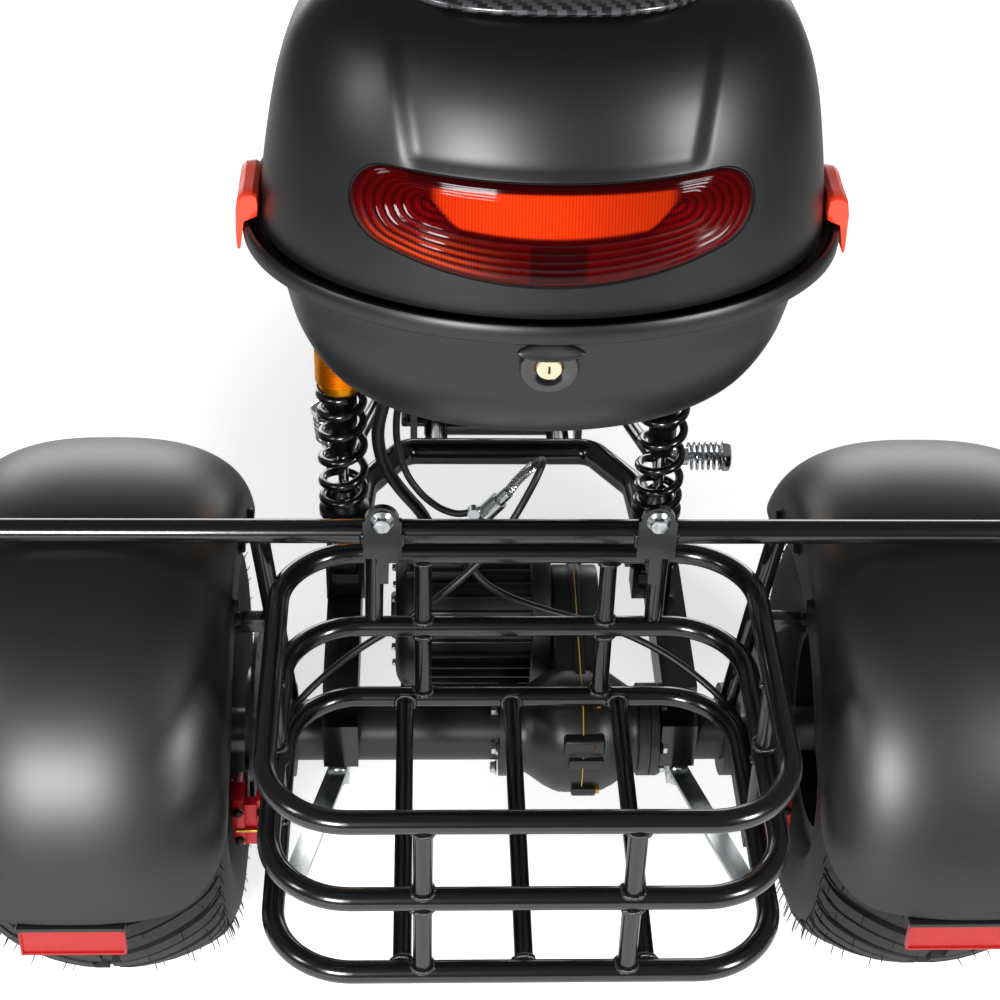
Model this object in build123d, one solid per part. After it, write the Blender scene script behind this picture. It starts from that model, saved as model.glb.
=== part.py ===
from build123d import *
from math import atan2, cos, degrees, pi, radians, sin, sqrt, tan
import os

# Electric three-wheel scooter: one steered wheel in front, two driven wheels behind,
# with a lockable tail box, a tubular basket and fat tyres.
# Drawn with X to the right, Y forward, Z up, from the ground below the rear axle.
# At the end everything is moved along Y so that the origin lies under the middle.

# ---- Driving dimensions (mm) ----
WHEELBASE = 1340.0
HALF_TRACK = 390.0
TRACK_SHIFT = 8.0
RAKE = 26.0
FORK_OFFSET = 30.0
FORK_HALF_WIDTH = 160.0

TYRE_RADIUS = 229.0
TYRE_WIDTH = 235.0
TYRE_WALL = 12.0
TYRE_SIDE_CLEARANCE = 24.5
TYRE_TO_AXLE_END = 50.5
BEAD_INSET = 29.5
RIM_RADIUS = 103.0
RIM_WALL = 5.0
RIM_LIP = 14.0
WEB_X = 40.0
HUB_WALL = 7.0

AXLE_SHAFT_RADIUS = 15.0
AXLE_TUBE_WALL = 15.0
DISC_RADIUS = 108.0
DISC_THICKNESS = 4.0
DISC_STAND = 24.0
DISC_BAND = 46.0
FRONT_DISC_RADIUS = 92.0
FRONT_DISC_X = -112.0
CALIPER_HALF_WIDTH = 17.0
CALIPER_SLOT_GAP = 3.0

DIFF_X = 68.0
DIFF_RADIUS = 62.0
DIFF_HALF_WIDTH = 70.0
FLANGE_RADIUS = 46.0
MOTOR_Y = 148.0
MOTOR_Z = 252.0
MOTOR_RADIUS = 76.0
MOTOR_LEFT = -118.0
GEAR_CASE_WIDTH = 50.0

FENDER_RISE = 60.0
FENDER_WALL = 4.0
FENDER_SHOULDER = 62.0
FENDER_SKIRT = 34.0
FENDER_REAR_ANGLE = 8.0
FENDER_FRONT_ANGLE = 152.0
FENDER_CORNER = 46.0

BAR_RADIUS = 11.0
BAR_Y = -57.0
BAR_OVERHANG = 130.0
LUG_X = 121.0
LUG_Z = 547.0

BASKET_TUBE_RADIUS = 9.75
BASKET_HALF_WIDTH = 213.0
BASKET_REAR_Y = -365.0
BASKET_FRONT_Y = -28.0
BASKET_CORNER = 70.0
BASKET_HEIGHTS = (299.0, 388.0, 476.0)
BASKET_POST_X = 85.0
BASKET_FLOOR_X = 102.0

BOX_HALF_WIDTH = 216.0
BOX_WIDEST_Y = -185.0
BOX_REAR_Y = -345.0
BOX_FRONT_Y = -12.0
BOX_RIM_Z = 907.0
BOX_BOTTOM_Z = 775.0
BOX_TOP_Z = 1100.0
BOX_WALL = 4.0
BOX_RIM_HEIGHT = 12.0
LID_GAP = 1.0
LID_RIM_HEIGHT = 9.0
LOCK_Z = 880.0
LOCK_RADIUS = 15.0
HINGE_XS = (-70.0, 70.0)
HINGE_Y = -4.0
HINGE_Z = 908.0
HINGE_RADIUS = 5.0
HINGE_PIN_RADIUS = 2.0
LATCH_WIDTH = 56.0
LATCH_LOW_Z = 888.0
LATCH_HIGH_Z = 942.0
LATCH_STAND = 4.0

SHOCK_SPREAD = 156.5
SHOCK_SHIFT = -7.5
SHOCK_Y = 150.0
SHOCK_LOW_Z = 324.0
SHOCK_HIGH_Z = 664.0
SPRING_RADIUS = 25.0
SPRING_LOW_Z = 394.0
COLLAR_LOW_Z = 540.0
COLLAR_HIGH_Z = 575.0

SWING_ARM_X = 165.0
SWING_ARM_WIDTH = 34.0
SWING_ARM_HEIGHT = 44.0
SWING_ARM_Z = 274.0
SWING_ARM_CROSS_Y = 417.0
PIVOT_Y = 492.0
PIVOT_Z = 258.0

FRAME_TUBE_RADIUS = 17.0
DECK_REAR_Y = 585.0
DECK_TO_FRONT_AXLE = 405.0
DECK_Z = 304.0
DECK_HALF_WIDTH = 185.0
DECK_THICKNESS = 4.0
DECK_LIP = 26.0
BATTERY_SIDE_GAP = 3.0
BATTERY_HEIGHT = 118.0
RAIL_X = 132.0
SEAT_RAIL_X = 112.0
SEAT_RAIL_Z = 668.0
RACK_FOOT_Y = 6.0
RACK_X = 84.0
RACK_REAR_Y = -170.0
RACK_TUBE_RADIUS = 9.0
SEAT_REAR_Y = 28.0
SEAT_FRONT_Y = 600.0
SEAT_HALF_WIDTH = 152.0
SEAT_HEIGHT = 86.0
SEAT_PAN_THICKNESS = 12.0

STEM_RADIUS = 14.0
HEAD_TUBE_RADIUS = 27.0
HEAD_TUBE_LOW = 452.0
HEAD_TUBE_LENGTH = 186.0
CLAMP_THICKNESS = 26.0
SLIDER_RADIUS = 25.0
STANCHION_RADIUS = 18.0
HANDLEBAR_RADIUS = 11.0
HANDLEBAR_REACH = 380.0
HANDLEBAR_S = 900.0
GRIP_LENGTH = 125.0
GRIP_RADIUS = 16.0
HEADLIGHT_RADIUS = 88.0
HEADLIGHT_TO_FRONT_AXLE = 220.0
HEADLIGHT_Z = 870.0
FRONT_FENDER_RADIUS = 263.0
FRONT_FENDER_START = 20.0
FRONT_FENDER_ARC = 150.0

PEG_Y = 332.0
PEG_Z = 324.0
PEG_HINGE_X = 184.0
PEG_START = 16.0
PEG_LENGTH = 52.0
PEG_PIN_RADIUS = 4.0
PEG_CHEEK_Y = 14.0
PEG_FOLD = 85.0

CONTROLLER_HALF_WIDTH = 75.0
CONTROLLER_REAR_Y = 190.0
CONTROLLER_LENGTH = 120.0
CONTROLLER_HEIGHT = 70.0
BRAKE_CYLINDER_RADIUS = 13.0
BRAKE_CYLINDER_REAR_Y = 116.0
BRAKE_CYLINDER_LENGTH = 66.0
HOSE_RADIUS = 3.5
MOTOR_CABLE_RADIUS = 6.25

# ---- Named clearances ----
RUNNING_FIT = 0.08
SOFT_GAP = 0.3
MOVING_GAP = 6.0

# ---- Worked-out places ----
AXLE_HALF_LENGTH = HALF_TRACK - TYRE_WIDTH / 2 - TYRE_TO_AXLE_END
AXLE_TUBE_RADIUS = AXLE_SHAFT_RADIUS + AXLE_TUBE_WALL
DISC_X = AXLE_HALF_LENGTH + DISC_STAND
DISC_CARRIER_RADIUS = DISC_RADIUS - DISC_BAND
BEAD_HALF_WIDTH = TYRE_WIDTH / 2 - BEAD_INSET
FENDER_RADIUS = TYRE_RADIUS + FENDER_RISE
FENDER_HALF_WIDTH = TYRE_WIDTH / 2 + TYRE_SIDE_CLEARANCE
BAR_HALF_LENGTH = HALF_TRACK + BAR_OVERHANG
GEAR_CASE_X = DIFF_X + 3.0
MOTOR_RIGHT = GEAR_CASE_X - GEAR_CASE_WIDTH / 2
DECK_FRONT_Y = WHEELBASE - DECK_TO_FRONT_AXLE
BATTERY_HALF_WIDTH = RAIL_X - FRAME_TUBE_RADIUS - BATTERY_SIDE_GAP
RAIL_Z = DECK_Z - DECK_THICKNESS - FRAME_TUBE_RADIUS - SOFT_GAP
CROSS_Z = SWING_ARM_Z - 6.0
SEAT_PAN_Z = SEAT_RAIL_Z + 14.0
HEADLIGHT_Y = WHEELBASE - HEADLIGHT_TO_FRONT_AXLE
BASKET_REAR_FACE = BASKET_REAR_Y - BASKET_TUBE_RADIUS
FRONT_FACE = WHEELBASE + FRONT_FENDER_RADIUS * cos(radians(FRONT_FENDER_START))
SHIFT_Y = -(FRONT_FACE + BASKET_REAR_FACE) / 2

HUB_Z = TYRE_RADIUS
BAR_Z = HUB_Z + sqrt(FENDER_RADIUS**2 - BAR_Y**2) + BAR_RADIUS + SOFT_GAP
FRONT_AXLE = Vector(0, WHEELBASE, HUB_Z)
STEER_UP = Vector(0, -sin(radians(RAKE)), cos(radians(RAKE)))
STEER_FORWARD = Vector(0, cos(radians(RAKE)), sin(radians(RAKE)))
STEER_ORIGIN = FRONT_AXLE - STEER_FORWARD * FORK_OFFSET
STEER_PLANE = Plane(origin=STEER_ORIGIN, x_dir=(1, 0, 0), z_dir=STEER_UP)
CLAMP_GAP = 4.0
LOWER_CLAMP_S = HEAD_TUBE_LOW - CLAMP_GAP - CLAMP_THICKNESS
UPPER_CLAMP_S = HEAD_TUBE_LOW + HEAD_TUBE_LENGTH + CLAMP_GAP


# ---- Helpers ----
def wheel_x(side):
    """Middle of a rear wheel; side is -1 left, 1 right."""
    return side * HALF_TRACK + TRACK_SHIFT


def shock_x(side):
    """Middle of a shock; side is -1 left, 1 right."""
    return side * SHOCK_SPREAD + SHOCK_SHIFT


def rod(start, end, radius):
    """A straight round bar between two points."""
    a = Vector(*start)
    b = Vector(*end)
    plane = Plane(origin=a, z_dir=b - a)
    return plane * Cylinder(radius, (b - a).length, align=(Align.CENTER, Align.CENTER, Align.MIN))


def bent_rod(points, radius, bends):
    """A round bar bent at its inner corners to the given radii."""
    path = FilletPolyline(*[Vector(*p) for p in points], radius=bends)
    section = Plane(origin=path @ 0, z_dir=path % 0) * Circle(radius)
    return sweep(section, path=path)


def corner_radii(points):
    """Bend radius at each inner corner, from its shorter run and its turn."""
    radii = []
    for before, here, after in zip(points, points[1:], points[2:]):
        run_in = Vector(*here) - Vector(*before)
        run_out = Vector(*after) - Vector(*here)
        turn = radians(run_in.get_angle(run_out))
        radii.append(0.45 * min(run_in.length, run_out.length) / tan(turn / 2))
    return radii


def cord_tube(name, points, radius):
    """A flexible line along straight runs joined by the widest arcs that fit."""
    radii = corner_radii(points)
    path = FilletPolyline(*[Vector(*p) for p in points], radius=radii)
    tube = sweep(Plane(origin=path @ 0, z_dir=path % 0) * Circle(radius), path=path)
    expected = pi * radius**2 * path.length
    print(f"{name} length {path.length:.0f} volume ratio {tube.volume / expected:.4f}")
    print("  radii", " ".join(f"{r:.0f}" for r in radii))
    return tube


def block(x0, x1, y0, y1, z0, z1):
    """A box between two opposite corners."""
    x0, x1 = min(x0, x1), max(x0, x1)
    y0, y1 = min(y0, y1), max(y0, y1)
    z0, z1 = min(z0, z1), max(z0, z1)
    size = (x1 - x0, y1 - y0, z1 - z0)
    centre = ((x0 + x1) / 2, (y0 + y1) / 2, (z0 + z1) / 2)
    return Pos(*centre) * Box(*size)


def disc_x(centre_x, centre_y, centre_z, radius, thickness):
    """A round plate whose axis runs across the vehicle."""
    return Pos(centre_x, centre_y, centre_z) * Rot(0, 90, 0) * Cylinder(radius, thickness)


def disc_y(centre_x, centre_y, centre_z, radius, thickness):
    """A round plate whose axis runs along the vehicle."""
    return Pos(centre_x, centre_y, centre_z) * Rot(90, 0, 0) * Cylinder(radius, thickness)


def turned_about_x(face_points):
    """A solid turned about the X axis from (x, radius) corner points."""
    outline = Polyline(*[(x, r) for x, r in face_points], close=True)
    return revolve(make_face(outline), axis=Axis.X)


# ---- Wheels, drawn about the origin with the axle along X ----
def tyre_shape():
    """Round-crown balloon tyre with an open inside between its beads."""
    half = TYRE_WIDTH / 2
    crown = half * 0.8
    bead_r = RIM_RADIUS + SOFT_GAP
    wall = TYRE_WALL
    lip_r = RIM_RADIUS + RIM_LIP + 1.0
    shoulder_r = TYRE_RADIUS - 24.0
    belly_r = (lip_r + shoulder_r) / 2
    inner_bead = BEAD_HALF_WIDTH - wall
    outside = [(-BEAD_HALF_WIDTH, bead_r), (-BEAD_HALF_WIDTH, lip_r)]
    outside += [(-half + 5, belly_r - 26), (-half, belly_r), (-half + 3, belly_r + 20)]
    outside += [(-crown, shoulder_r), (-crown * 0.6, TYRE_RADIUS - 8.5), (-crown * 0.2, TYRE_RADIUS)]
    inside = [(-inner_bead, bead_r), (-inner_bead, lip_r)]
    inside += [(wall - half + 5, belly_r - 24), (wall - half, belly_r), (wall - half + 3, belly_r + 16)]
    inside += [(wall * 0.7 - crown, shoulder_r - wall), (-crown * 0.5, TYRE_RADIUS - 8.5 - wall)]
    left_outside = outside
    right_outside = [(-x, r) for x, r in reversed(outside)]
    right_inside = [(-x, r) for x, r in inside]
    left_inside = list(reversed(inside))
    return turned_about_x(left_outside + right_outside + right_inside + left_inside)


def rim_shape(bore_radius, web_x):
    """Wheel rim: barrel with two lips, a web with round windows and a hub."""
    barrel_in = RIM_RADIUS - RIM_WALL
    lip_x = BEAD_HALF_WIDTH + SOFT_GAP
    lip_r = RIM_RADIUS + RIM_LIP
    barrel = turned_about_x(
        [
            (-lip_x - RIM_WALL, barrel_in),
            (-lip_x - RIM_WALL, lip_r),
            (-lip_x, lip_r),
            (-lip_x, RIM_RADIUS),
            (lip_x, RIM_RADIUS),
            (lip_x, lip_r),
            (lip_x + RIM_WALL, lip_r),
            (lip_x + RIM_WALL, barrel_in),
        ]
    )
    hub_r = bore_radius + 17.0
    web = disc_x(web_x, 0, 0, barrel_in + 1.0, 9.0) + disc_x(web_x, 0, 0, hub_r, 44.0)
    windows = [
        Rot(angle, 0, 0) * disc_x(web_x, 0, (barrel_in + hub_r) / 2, 17.0, 30.0)
        for angle in range(0, 360, 60)
    ]
    web -= windows
    web -= disc_x(web_x, 0, 0, bore_radius, 80.0)
    return barrel + web


def brake_disc_shape(outer, hole_radius, inner):
    """Perforated brake disc, centred on the origin."""
    disc = disc_x(0, 0, 0, outer, DISC_THICKNESS) - disc_x(0, 0, 0, inner, 20.0)
    holes = []
    for ring, (radius, count) in enumerate(((outer - 10.0, 20), (outer - 24.0, 20))):
        for i in range(count):
            angle = 360.0 * (i + 0.5 * ring) / count
            holes.append(Rot(angle, 0, 0) * disc_x(0, 0, radius, hole_radius, 20.0))
    return disc - holes


def rear_wheel(side):
    """The turning pieces of a rear wheel; side is -1 left, 1 right."""
    centre = Pos(wheel_x(side), 0, HUB_Z)
    tyre = centre * tyre_shape()
    sleeve_radius = AXLE_SHAFT_RADIUS + HUB_WALL
    rim = centre * rim_shape(sleeve_radius, side * WEB_X)
    shaft_in = AXLE_HALF_LENGTH - 60.0
    outer_end = side * wheel_x(side) + WEB_X + 36.0
    web_in = side * wheel_x(side) + WEB_X - 22.0
    hub = rod((side * shaft_in, 0, HUB_Z), (side * outer_end, 0, HUB_Z), AXLE_SHAFT_RADIUS)
    sleeve_in = DISC_X - DISC_THICKNESS / 2
    hub += rod((side * sleeve_in, 0, HUB_Z), (side * (outer_end - 4.0), 0, HUB_Z), sleeve_radius)
    carrier_x = DISC_X + DISC_THICKNESS / 2 + 4.0
    hub += disc_x(side * carrier_x, 0, HUB_Z, DISC_CARRIER_RADIUS, 8.0)
    hub += disc_x(side * (web_in - 5.0), 0, HUB_Z, sleeve_radius + 15.0, 10.0)
    hub += disc_x(side * (outer_end - 9.0), 0, HUB_Z, sleeve_radius + 8.0, 10.0)
    disc = Pos(side * DISC_X, 0, HUB_Z) * brake_disc_shape(DISC_RADIUS, 4.0, sleeve_radius)
    return tyre, rim, hub, disc


# ---- Rear axle, motor and differential ----
def axle_housing():
    """Two axle tubes with flanges and caliper brackets, bored for the half shafts."""
    parts = []
    for side in (-1, 1):
        x_in = DIFF_X + side * DIFF_HALF_WIDTH
        x_out = side * AXLE_HALF_LENGTH
        tube = rod((x_in, 0, HUB_Z), (x_out, 0, HUB_Z), AXLE_TUBE_RADIUS)
        tube += disc_x(x_in + side * 4.0, 0, HUB_Z, FLANGE_RADIUS, 8.0)
        tube += disc_x(x_out - side * 6.0, 0, HUB_Z, FLANGE_RADIUS, 12.0)
        tube += caliper_bracket(side)
        shaft_in = side * (AXLE_HALF_LENGTH - 64.0)
        tube -= rod((x_out + side * 9.0, 0, HUB_Z), (shaft_in, 0, HUB_Z), AXLE_SHAFT_RADIUS + RUNNING_FIT)
        parts.append(tube)
    return parts[0] + parts[1]


def caliper_bracket(side):
    """Plate on the axle end flange, reaching back to the caliper."""
    x = side * (AXLE_HALF_LENGTH + 2.5)
    plate = block(x - 2.5, x + 2.5, -DISC_RADIUS - 20.0, 38.0, HUB_Z - 34.0, HUB_Z + 34.0)
    return plate - disc_x(x, 0, HUB_Z, AXLE_SHAFT_RADIUS + 8.0, 20.0)


def differential():
    """Bulged gear casing in the axle, with the drive casing to the motor."""
    half = DIFF_HALF_WIDTH
    body = turned_about_x(
        [
            (-half, 0),
            (-half, FLANGE_RADIUS),
            (-half + 12.0, FLANGE_RADIUS),
            (-half + 16.0, FLANGE_RADIUS - 6.0),
            (-half * 0.42, DIFF_RADIUS),
            (half * 0.42, DIFF_RADIUS),
            (half - 16.0, FLANGE_RADIUS - 6.0),
            (half - 12.0, FLANGE_RADIUS),
            (half, FLANGE_RADIUS),
            (half, 0),
        ]
    )
    body = Pos(DIFF_X, 0, HUB_Z) * body
    body += block(DIFF_X - 19, DIFF_X + 19, -16, 16, HUB_Z - DIFF_RADIUS - 9, HUB_Z - 40)
    rise = MOTOR_Z - HUB_Z
    reach = sqrt(MOTOR_Y**2 + rise**2)
    tilt = degrees(atan2(rise, MOTOR_Y))
    casing = Pos(GEAR_CASE_X, 0, HUB_Z) * Rot(tilt, 0, 0) * Pos(0, reach / 2, 0) * Box(
        GEAR_CASE_WIDTH, reach, 2 * DIFF_RADIUS - 16
    )
    casing += disc_x(GEAR_CASE_X, MOTOR_Y, MOTOR_Z, DIFF_RADIUS - 8.0, GEAR_CASE_WIDTH)
    return body + casing


def drive_motor():
    """Finned motor lying across the vehicle, bolted to the gear casing."""
    length = MOTOR_RIGHT - MOTOR_LEFT
    end_width = 14.0
    fin_pitch = 12.0
    motor = disc_x((MOTOR_LEFT + MOTOR_RIGHT) / 2, MOTOR_Y, MOTOR_Z, MOTOR_RADIUS - 6.0, length)
    fins = int((length - 2 * end_width) / fin_pitch)
    for i in range(fins):
        x = MOTOR_LEFT + end_width + fin_pitch * (i + 0.8)
        motor += disc_x(x, MOTOR_Y, MOTOR_Z, MOTOR_RADIUS, 5.0)
    for x in (MOTOR_LEFT + end_width / 2, MOTOR_RIGHT - end_width / 2):
        motor += disc_x(x, MOTOR_Y, MOTOR_Z, MOTOR_RADIUS, end_width)
    return motor


def swing_arm():
    """Forked arm from the frame pivot back to the axle."""
    arms = Part()
    for side in (-1, 1):
        x = side * SWING_ARM_X
        half = SWING_ARM_WIDTH / 2
        z0 = SWING_ARM_Z - SWING_ARM_HEIGHT / 2
        arms += block(x - half, x + half, -12, 196, z0, z0 + SWING_ARM_HEIGHT)
        arms += block(x - half, x + half, -38, 38, HUB_Z - 14, z0 + 16)
        mount_x = shock_x(side)
        arms += block(
            mount_x - 19.5, mount_x + 19.5, SHOCK_Y - 16, SHOCK_Y + 16, z0 + 34, z0 + 48
        )
        for cheek in (-1, 1):
            cheek_x = mount_x + cheek * 16.5
            arms += block(
                cheek_x - 3, cheek_x + 3, SHOCK_Y - 16, SHOCK_Y + 16, z0 + 40, SHOCK_LOW_Z + 12
            )
    loop = bent_rod(
        [
            (-SWING_ARM_X, 150, SWING_ARM_Z),
            (-SWING_ARM_X + 14, 345, SWING_ARM_Z - 2),
            (-106, SWING_ARM_CROSS_Y, CROSS_Z),
            (106, SWING_ARM_CROSS_Y, CROSS_Z),
            (SWING_ARM_X - 14, 345, SWING_ARM_Z - 2),
            (SWING_ARM_X, 150, SWING_ARM_Z),
        ],
        15.0,
        [45.0, 26.0, 26.0, 45.0],
    )
    arms += loop
    for side in (-1, 1):
        arms += rod((side * 70, SWING_ARM_CROSS_Y, CROSS_Z), (side * 70, PIVOT_Y, PIVOT_Z), 13.0)
    arms += rod((-84, PIVOT_Y, PIVOT_Z), (84, PIVOT_Y, PIVOT_Z), 17.0)
    arms -= rod((-90, PIVOT_Y, PIVOT_Z), (90, PIVOT_Y, PIVOT_Z), 7.0)
    arms -= rod((-300, 0, HUB_Z), (300, 0, HUB_Z), AXLE_TUBE_RADIUS)
    return arms


# ---- Shocks ----
def shock(side):
    """One damper with its threaded collar, and its coil as a plain sleeve."""
    x = shock_x(side)
    y = SHOCK_Y

    def up(z0, z1, radius):
        return rod((x, y, z0), (x, y, z1), radius)

    damper = disc_x(x, y, SHOCK_LOW_Z, 15.0, 26.0)
    damper += up(SHOCK_LOW_Z + 8, SPRING_LOW_Z - 4, 12.0)
    damper += up(SPRING_LOW_Z - 14, SPRING_LOW_Z, SPRING_RADIUS)
    damper += up(SPRING_LOW_Z - 4, SPRING_LOW_Z + 70, 6.0)
    damper += up(SPRING_LOW_Z + 66, COLLAR_LOW_Z + 2, 15.0)
    damper += up(COLLAR_HIGH_Z, SHOCK_HIGH_Z - 30, SPRING_RADIUS - 4)
    damper += up(SHOCK_HIGH_Z - 34, SHOCK_HIGH_Z - 8, 12.0)
    damper += disc_x(x, y, SHOCK_HIGH_Z, 15.0, 26.0)
    damper += up(COLLAR_LOW_Z, COLLAR_HIGH_Z, SPRING_RADIUS - 7)
    collar = up(COLLAR_LOW_Z, COLLAR_HIGH_Z, SPRING_RADIUS) - up(
        COLLAR_LOW_Z - 1, COLLAR_HIGH_Z + 1, SPRING_RADIUS - 7
    )
    spring = up(SPRING_LOW_Z, COLLAR_LOW_Z, SPRING_RADIUS) - up(
        SPRING_LOW_Z - 1, COLLAR_LOW_Z + 1, SPRING_RADIUS - 8
    )
    return damper, collar, spring


# ---- Frame ----
def frame_point(x, y, s):
    """A point of the steering frame in vehicle coordinates."""
    return STEER_ORIGIN + Vector(x, 0, 0) + STEER_FORWARD * y + STEER_UP * s


def main_frame():
    """Head tube, down tubes, deck rails, seat rails and pivot lugs, welded."""
    head = STEER_PLANE * Pos(0, 0, HEAD_TUBE_LOW) * Cylinder(
        HEAD_TUBE_RADIUS, HEAD_TUBE_LENGTH, align=(Align.CENTER, Align.CENTER, Align.MIN)
    )
    frame = Part() + head
    low = frame_point(0, -14, HEAD_TUBE_LOW + 30)
    high = frame_point(0, -14, HEAD_TUBE_LOW + HEAD_TUBE_LENGTH - 34)
    for side in (-1, 1):
        frame += bent_rod(
            [
                (side * 12, high.Y, high.Z),
                (side * 40, DECK_FRONT_Y + 115, 600),
                (side * RAIL_X, DECK_FRONT_Y + 65, RAIL_Z),
                (side * RAIL_X, DECK_REAR_Y - 65, RAIL_Z),
                (side * SEAT_RAIL_X, DECK_REAR_Y - 133, SEAT_RAIL_Z - 20),
            ],
            FRAME_TUBE_RADIUS,
            [60.0, 70.0, 70.0],
        )
        frame += rod(
            (side * SEAT_RAIL_X, SEAT_FRONT_Y - 60, SEAT_RAIL_Z),
            (side * SEAT_RAIL_X, -6, SEAT_RAIL_Z),
            14.0,
        )
        strut_low = (side * RAIL_X, DECK_REAR_Y - 60, RAIL_Z + 14)
        frame += rod(strut_low, (side * SEAT_RAIL_X, 200, SEAT_RAIL_Z - 4), 11.0)
        boss_end = shock_x(side) - side * 13.0
        boss_start = (side * SEAT_RAIL_X, SHOCK_Y, SHOCK_HIGH_Z)
        frame += rod(boss_start, (boss_end, SHOCK_Y, SHOCK_HIGH_Z), 11.0)
        lug_x = side * 96
        frame += block(lug_x - 4, lug_x + 4, PIVOT_Y - 22, PIVOT_Y + 30, PIVOT_Z - 22, RAIL_Z)
    frame += rod((0, low.Y, low.Z), (0, DECK_FRONT_Y + 35, RAIL_Z), 16.0)
    for y in (PIVOT_Y + 26, DECK_FRONT_Y + 30):
        frame += rod((-RAIL_X, y, RAIL_Z), (RAIL_X, y, RAIL_Z), 14.0)
    for y in (RACK_FOOT_Y, 330, SEAT_FRONT_Y - 70):
        frame += rod((-SEAT_RAIL_X, y, SEAT_RAIL_Z), (SEAT_RAIL_X, y, SEAT_RAIL_Z), 11.0)
    frame += rod((-104, PIVOT_Y, PIVOT_Z), (104, PIVOT_Y, PIVOT_Z), 6.9)
    bore = STEER_PLANE * Pos(0, 0, HEAD_TUBE_LOW - 40) * Cylinder(
        STEM_RADIUS + RUNNING_FIT,
        HEAD_TUBE_LENGTH + 80,
        align=(Align.CENTER, Align.CENTER, Align.MIN),
    )
    return frame - bore


def foot_deck():
    """Flat floor with a turned-down edge."""
    deck = block(
        -DECK_HALF_WIDTH, DECK_HALF_WIDTH, DECK_REAR_Y, DECK_FRONT_Y, DECK_Z - DECK_THICKNESS, DECK_Z
    )
    for side in (-1, 1):
        x = side * (DECK_HALF_WIDTH - DECK_THICKNESS / 2)
        half = DECK_THICKNESS / 2
        deck += block(x - half, x + half, DECK_REAR_Y, DECK_FRONT_Y, DECK_Z - DECK_LIP, DECK_Z)
    return deck


def battery_case():
    """Sealed battery between the deck rails."""
    top = DECK_Z - DECK_THICKNESS
    return block(
        -BATTERY_HALF_WIDTH,
        BATTERY_HALF_WIDTH,
        DECK_REAR_Y,
        DECK_FRONT_Y,
        top - BATTERY_HEIGHT,
        top,
    )


def seat_pan():
    """Stiff pan that carries the cushion on the seat rails."""
    outline = seat_outline(SEAT_HALF_WIDTH - 8.0, 8.0)
    middle_y = (SEAT_REAR_Y + SEAT_FRONT_Y) / 2
    return Pos(0, middle_y, SEAT_PAN_Z) * extrude(outline, SEAT_PAN_THICKNESS)


def seat_outline(half_width, inset):
    """Plan of the saddle about its own middle: wide behind, narrow at the nose."""
    half_length = (SEAT_FRONT_Y - SEAT_REAR_Y) / 2 - inset
    nose = half_width * 0.62
    points = [
        (-half_width, -half_length),
        (half_width, -half_length),
        (half_width, half_length * 0.15),
        (nose, half_length),
        (-nose, half_length),
        (-half_width, half_length * 0.15),
    ]
    face = make_face(Polyline(*points, close=True))
    return fillet(face.vertices(), 45.0)


def rider_seat():
    """Two-step saddle cushion."""
    z0 = SEAT_PAN_Z + SEAT_PAN_THICKNESS + SOFT_GAP
    y0 = (SEAT_REAR_Y + SEAT_FRONT_Y) / 2
    seat = Pos(0, y0, z0) * extrude(seat_outline(SEAT_HALF_WIDTH, 0.0), SEAT_HEIGHT)
    step = block(-400, 400, y0 - 20, 900, z0 + SEAT_HEIGHT - 26, z0 + SEAT_HEIGHT + 40)
    seat -= step
    return seat


def box_rack():
    """Rack from the seat rails up to the floor of the tail box."""
    rack = Part()
    top = BOX_BOTTOM_Z - RACK_TUBE_RADIUS
    for side in (-1, 1):
        rack += bent_rod(
            [
                (side * RACK_X, RACK_FOOT_Y, SEAT_RAIL_Z),
                (side * RACK_X, RACK_FOOT_Y - 14, top),
                (side * RACK_X, RACK_REAR_Y, top),
            ],
            RACK_TUBE_RADIUS,
            [30.0],
        )
    for y in (RACK_REAR_Y + 100, RACK_REAR_Y + 12):
        rack += rod((-RACK_X, y, top), (RACK_X, y, top), RACK_TUBE_RADIUS - 1)
    rack -= rod(
        (-SEAT_RAIL_X, RACK_FOOT_Y, SEAT_RAIL_Z), (SEAT_RAIL_X, RACK_FOOT_Y, SEAT_RAIL_Z), 11.0
    )
    return rack


# ---- Tail box ----
def box_outline(half_width, rear_y, front_y, z):
    """Plan of the tail box: half an ellipse behind, rounded corners in front."""
    mid_y = BOX_WIDEST_Y
    corner_x = half_width * 0.38
    front_x = half_width - corner_x
    rear = EllipticalCenterArc(
        (0, mid_y), half_width, mid_y - rear_y, start_angle=180, arc_size=180
    )
    right = EllipticalCenterArc(
        (front_x, mid_y), corner_x, front_y - mid_y, start_angle=0, arc_size=90
    )
    front = Line((front_x, front_y), (-front_x, front_y))
    left = EllipticalCenterArc(
        (-front_x, mid_y), corner_x, front_y - mid_y, start_angle=90, arc_size=90
    )
    return Pos(0, 0, z) * make_face(Wire([rear, right, front, left]))


def stacked(levels, inset, z_shift_low=0.0, z_shift_high=0.0):
    """A solid lofted through plan levels (half width, rear, front, height)."""
    sections = []
    last = len(levels) - 1
    for i, (half_width, rear_y, front_y, z) in enumerate(levels):
        shift = z_shift_low if i == 0 else (z_shift_high if i == last else 0.0)
        sections.append(
            box_outline(half_width - inset, rear_y + inset, front_y - inset, z + shift)
        )
    return loft(sections)


BASE_LEVELS = (
    (134.0, -246.0, -40.0, BOX_BOTTOM_Z),
    (177.0, -304.0, -24.0, BOX_BOTTOM_Z + 60.0),
    (193.0, -328.0, -16.0, BOX_RIM_Z - 12.0),
)
LID_LEVELS = (
    (204.0, -335.0, -16.0, BOX_RIM_Z + 5.0),
    (196.5, -327.0, -20.0, BOX_RIM_Z + 75.0),
    (182.0, -304.0, -34.0, BOX_RIM_Z + 150.0),
    (150.0, -256.0, -64.0, BOX_TOP_Z),
)


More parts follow.
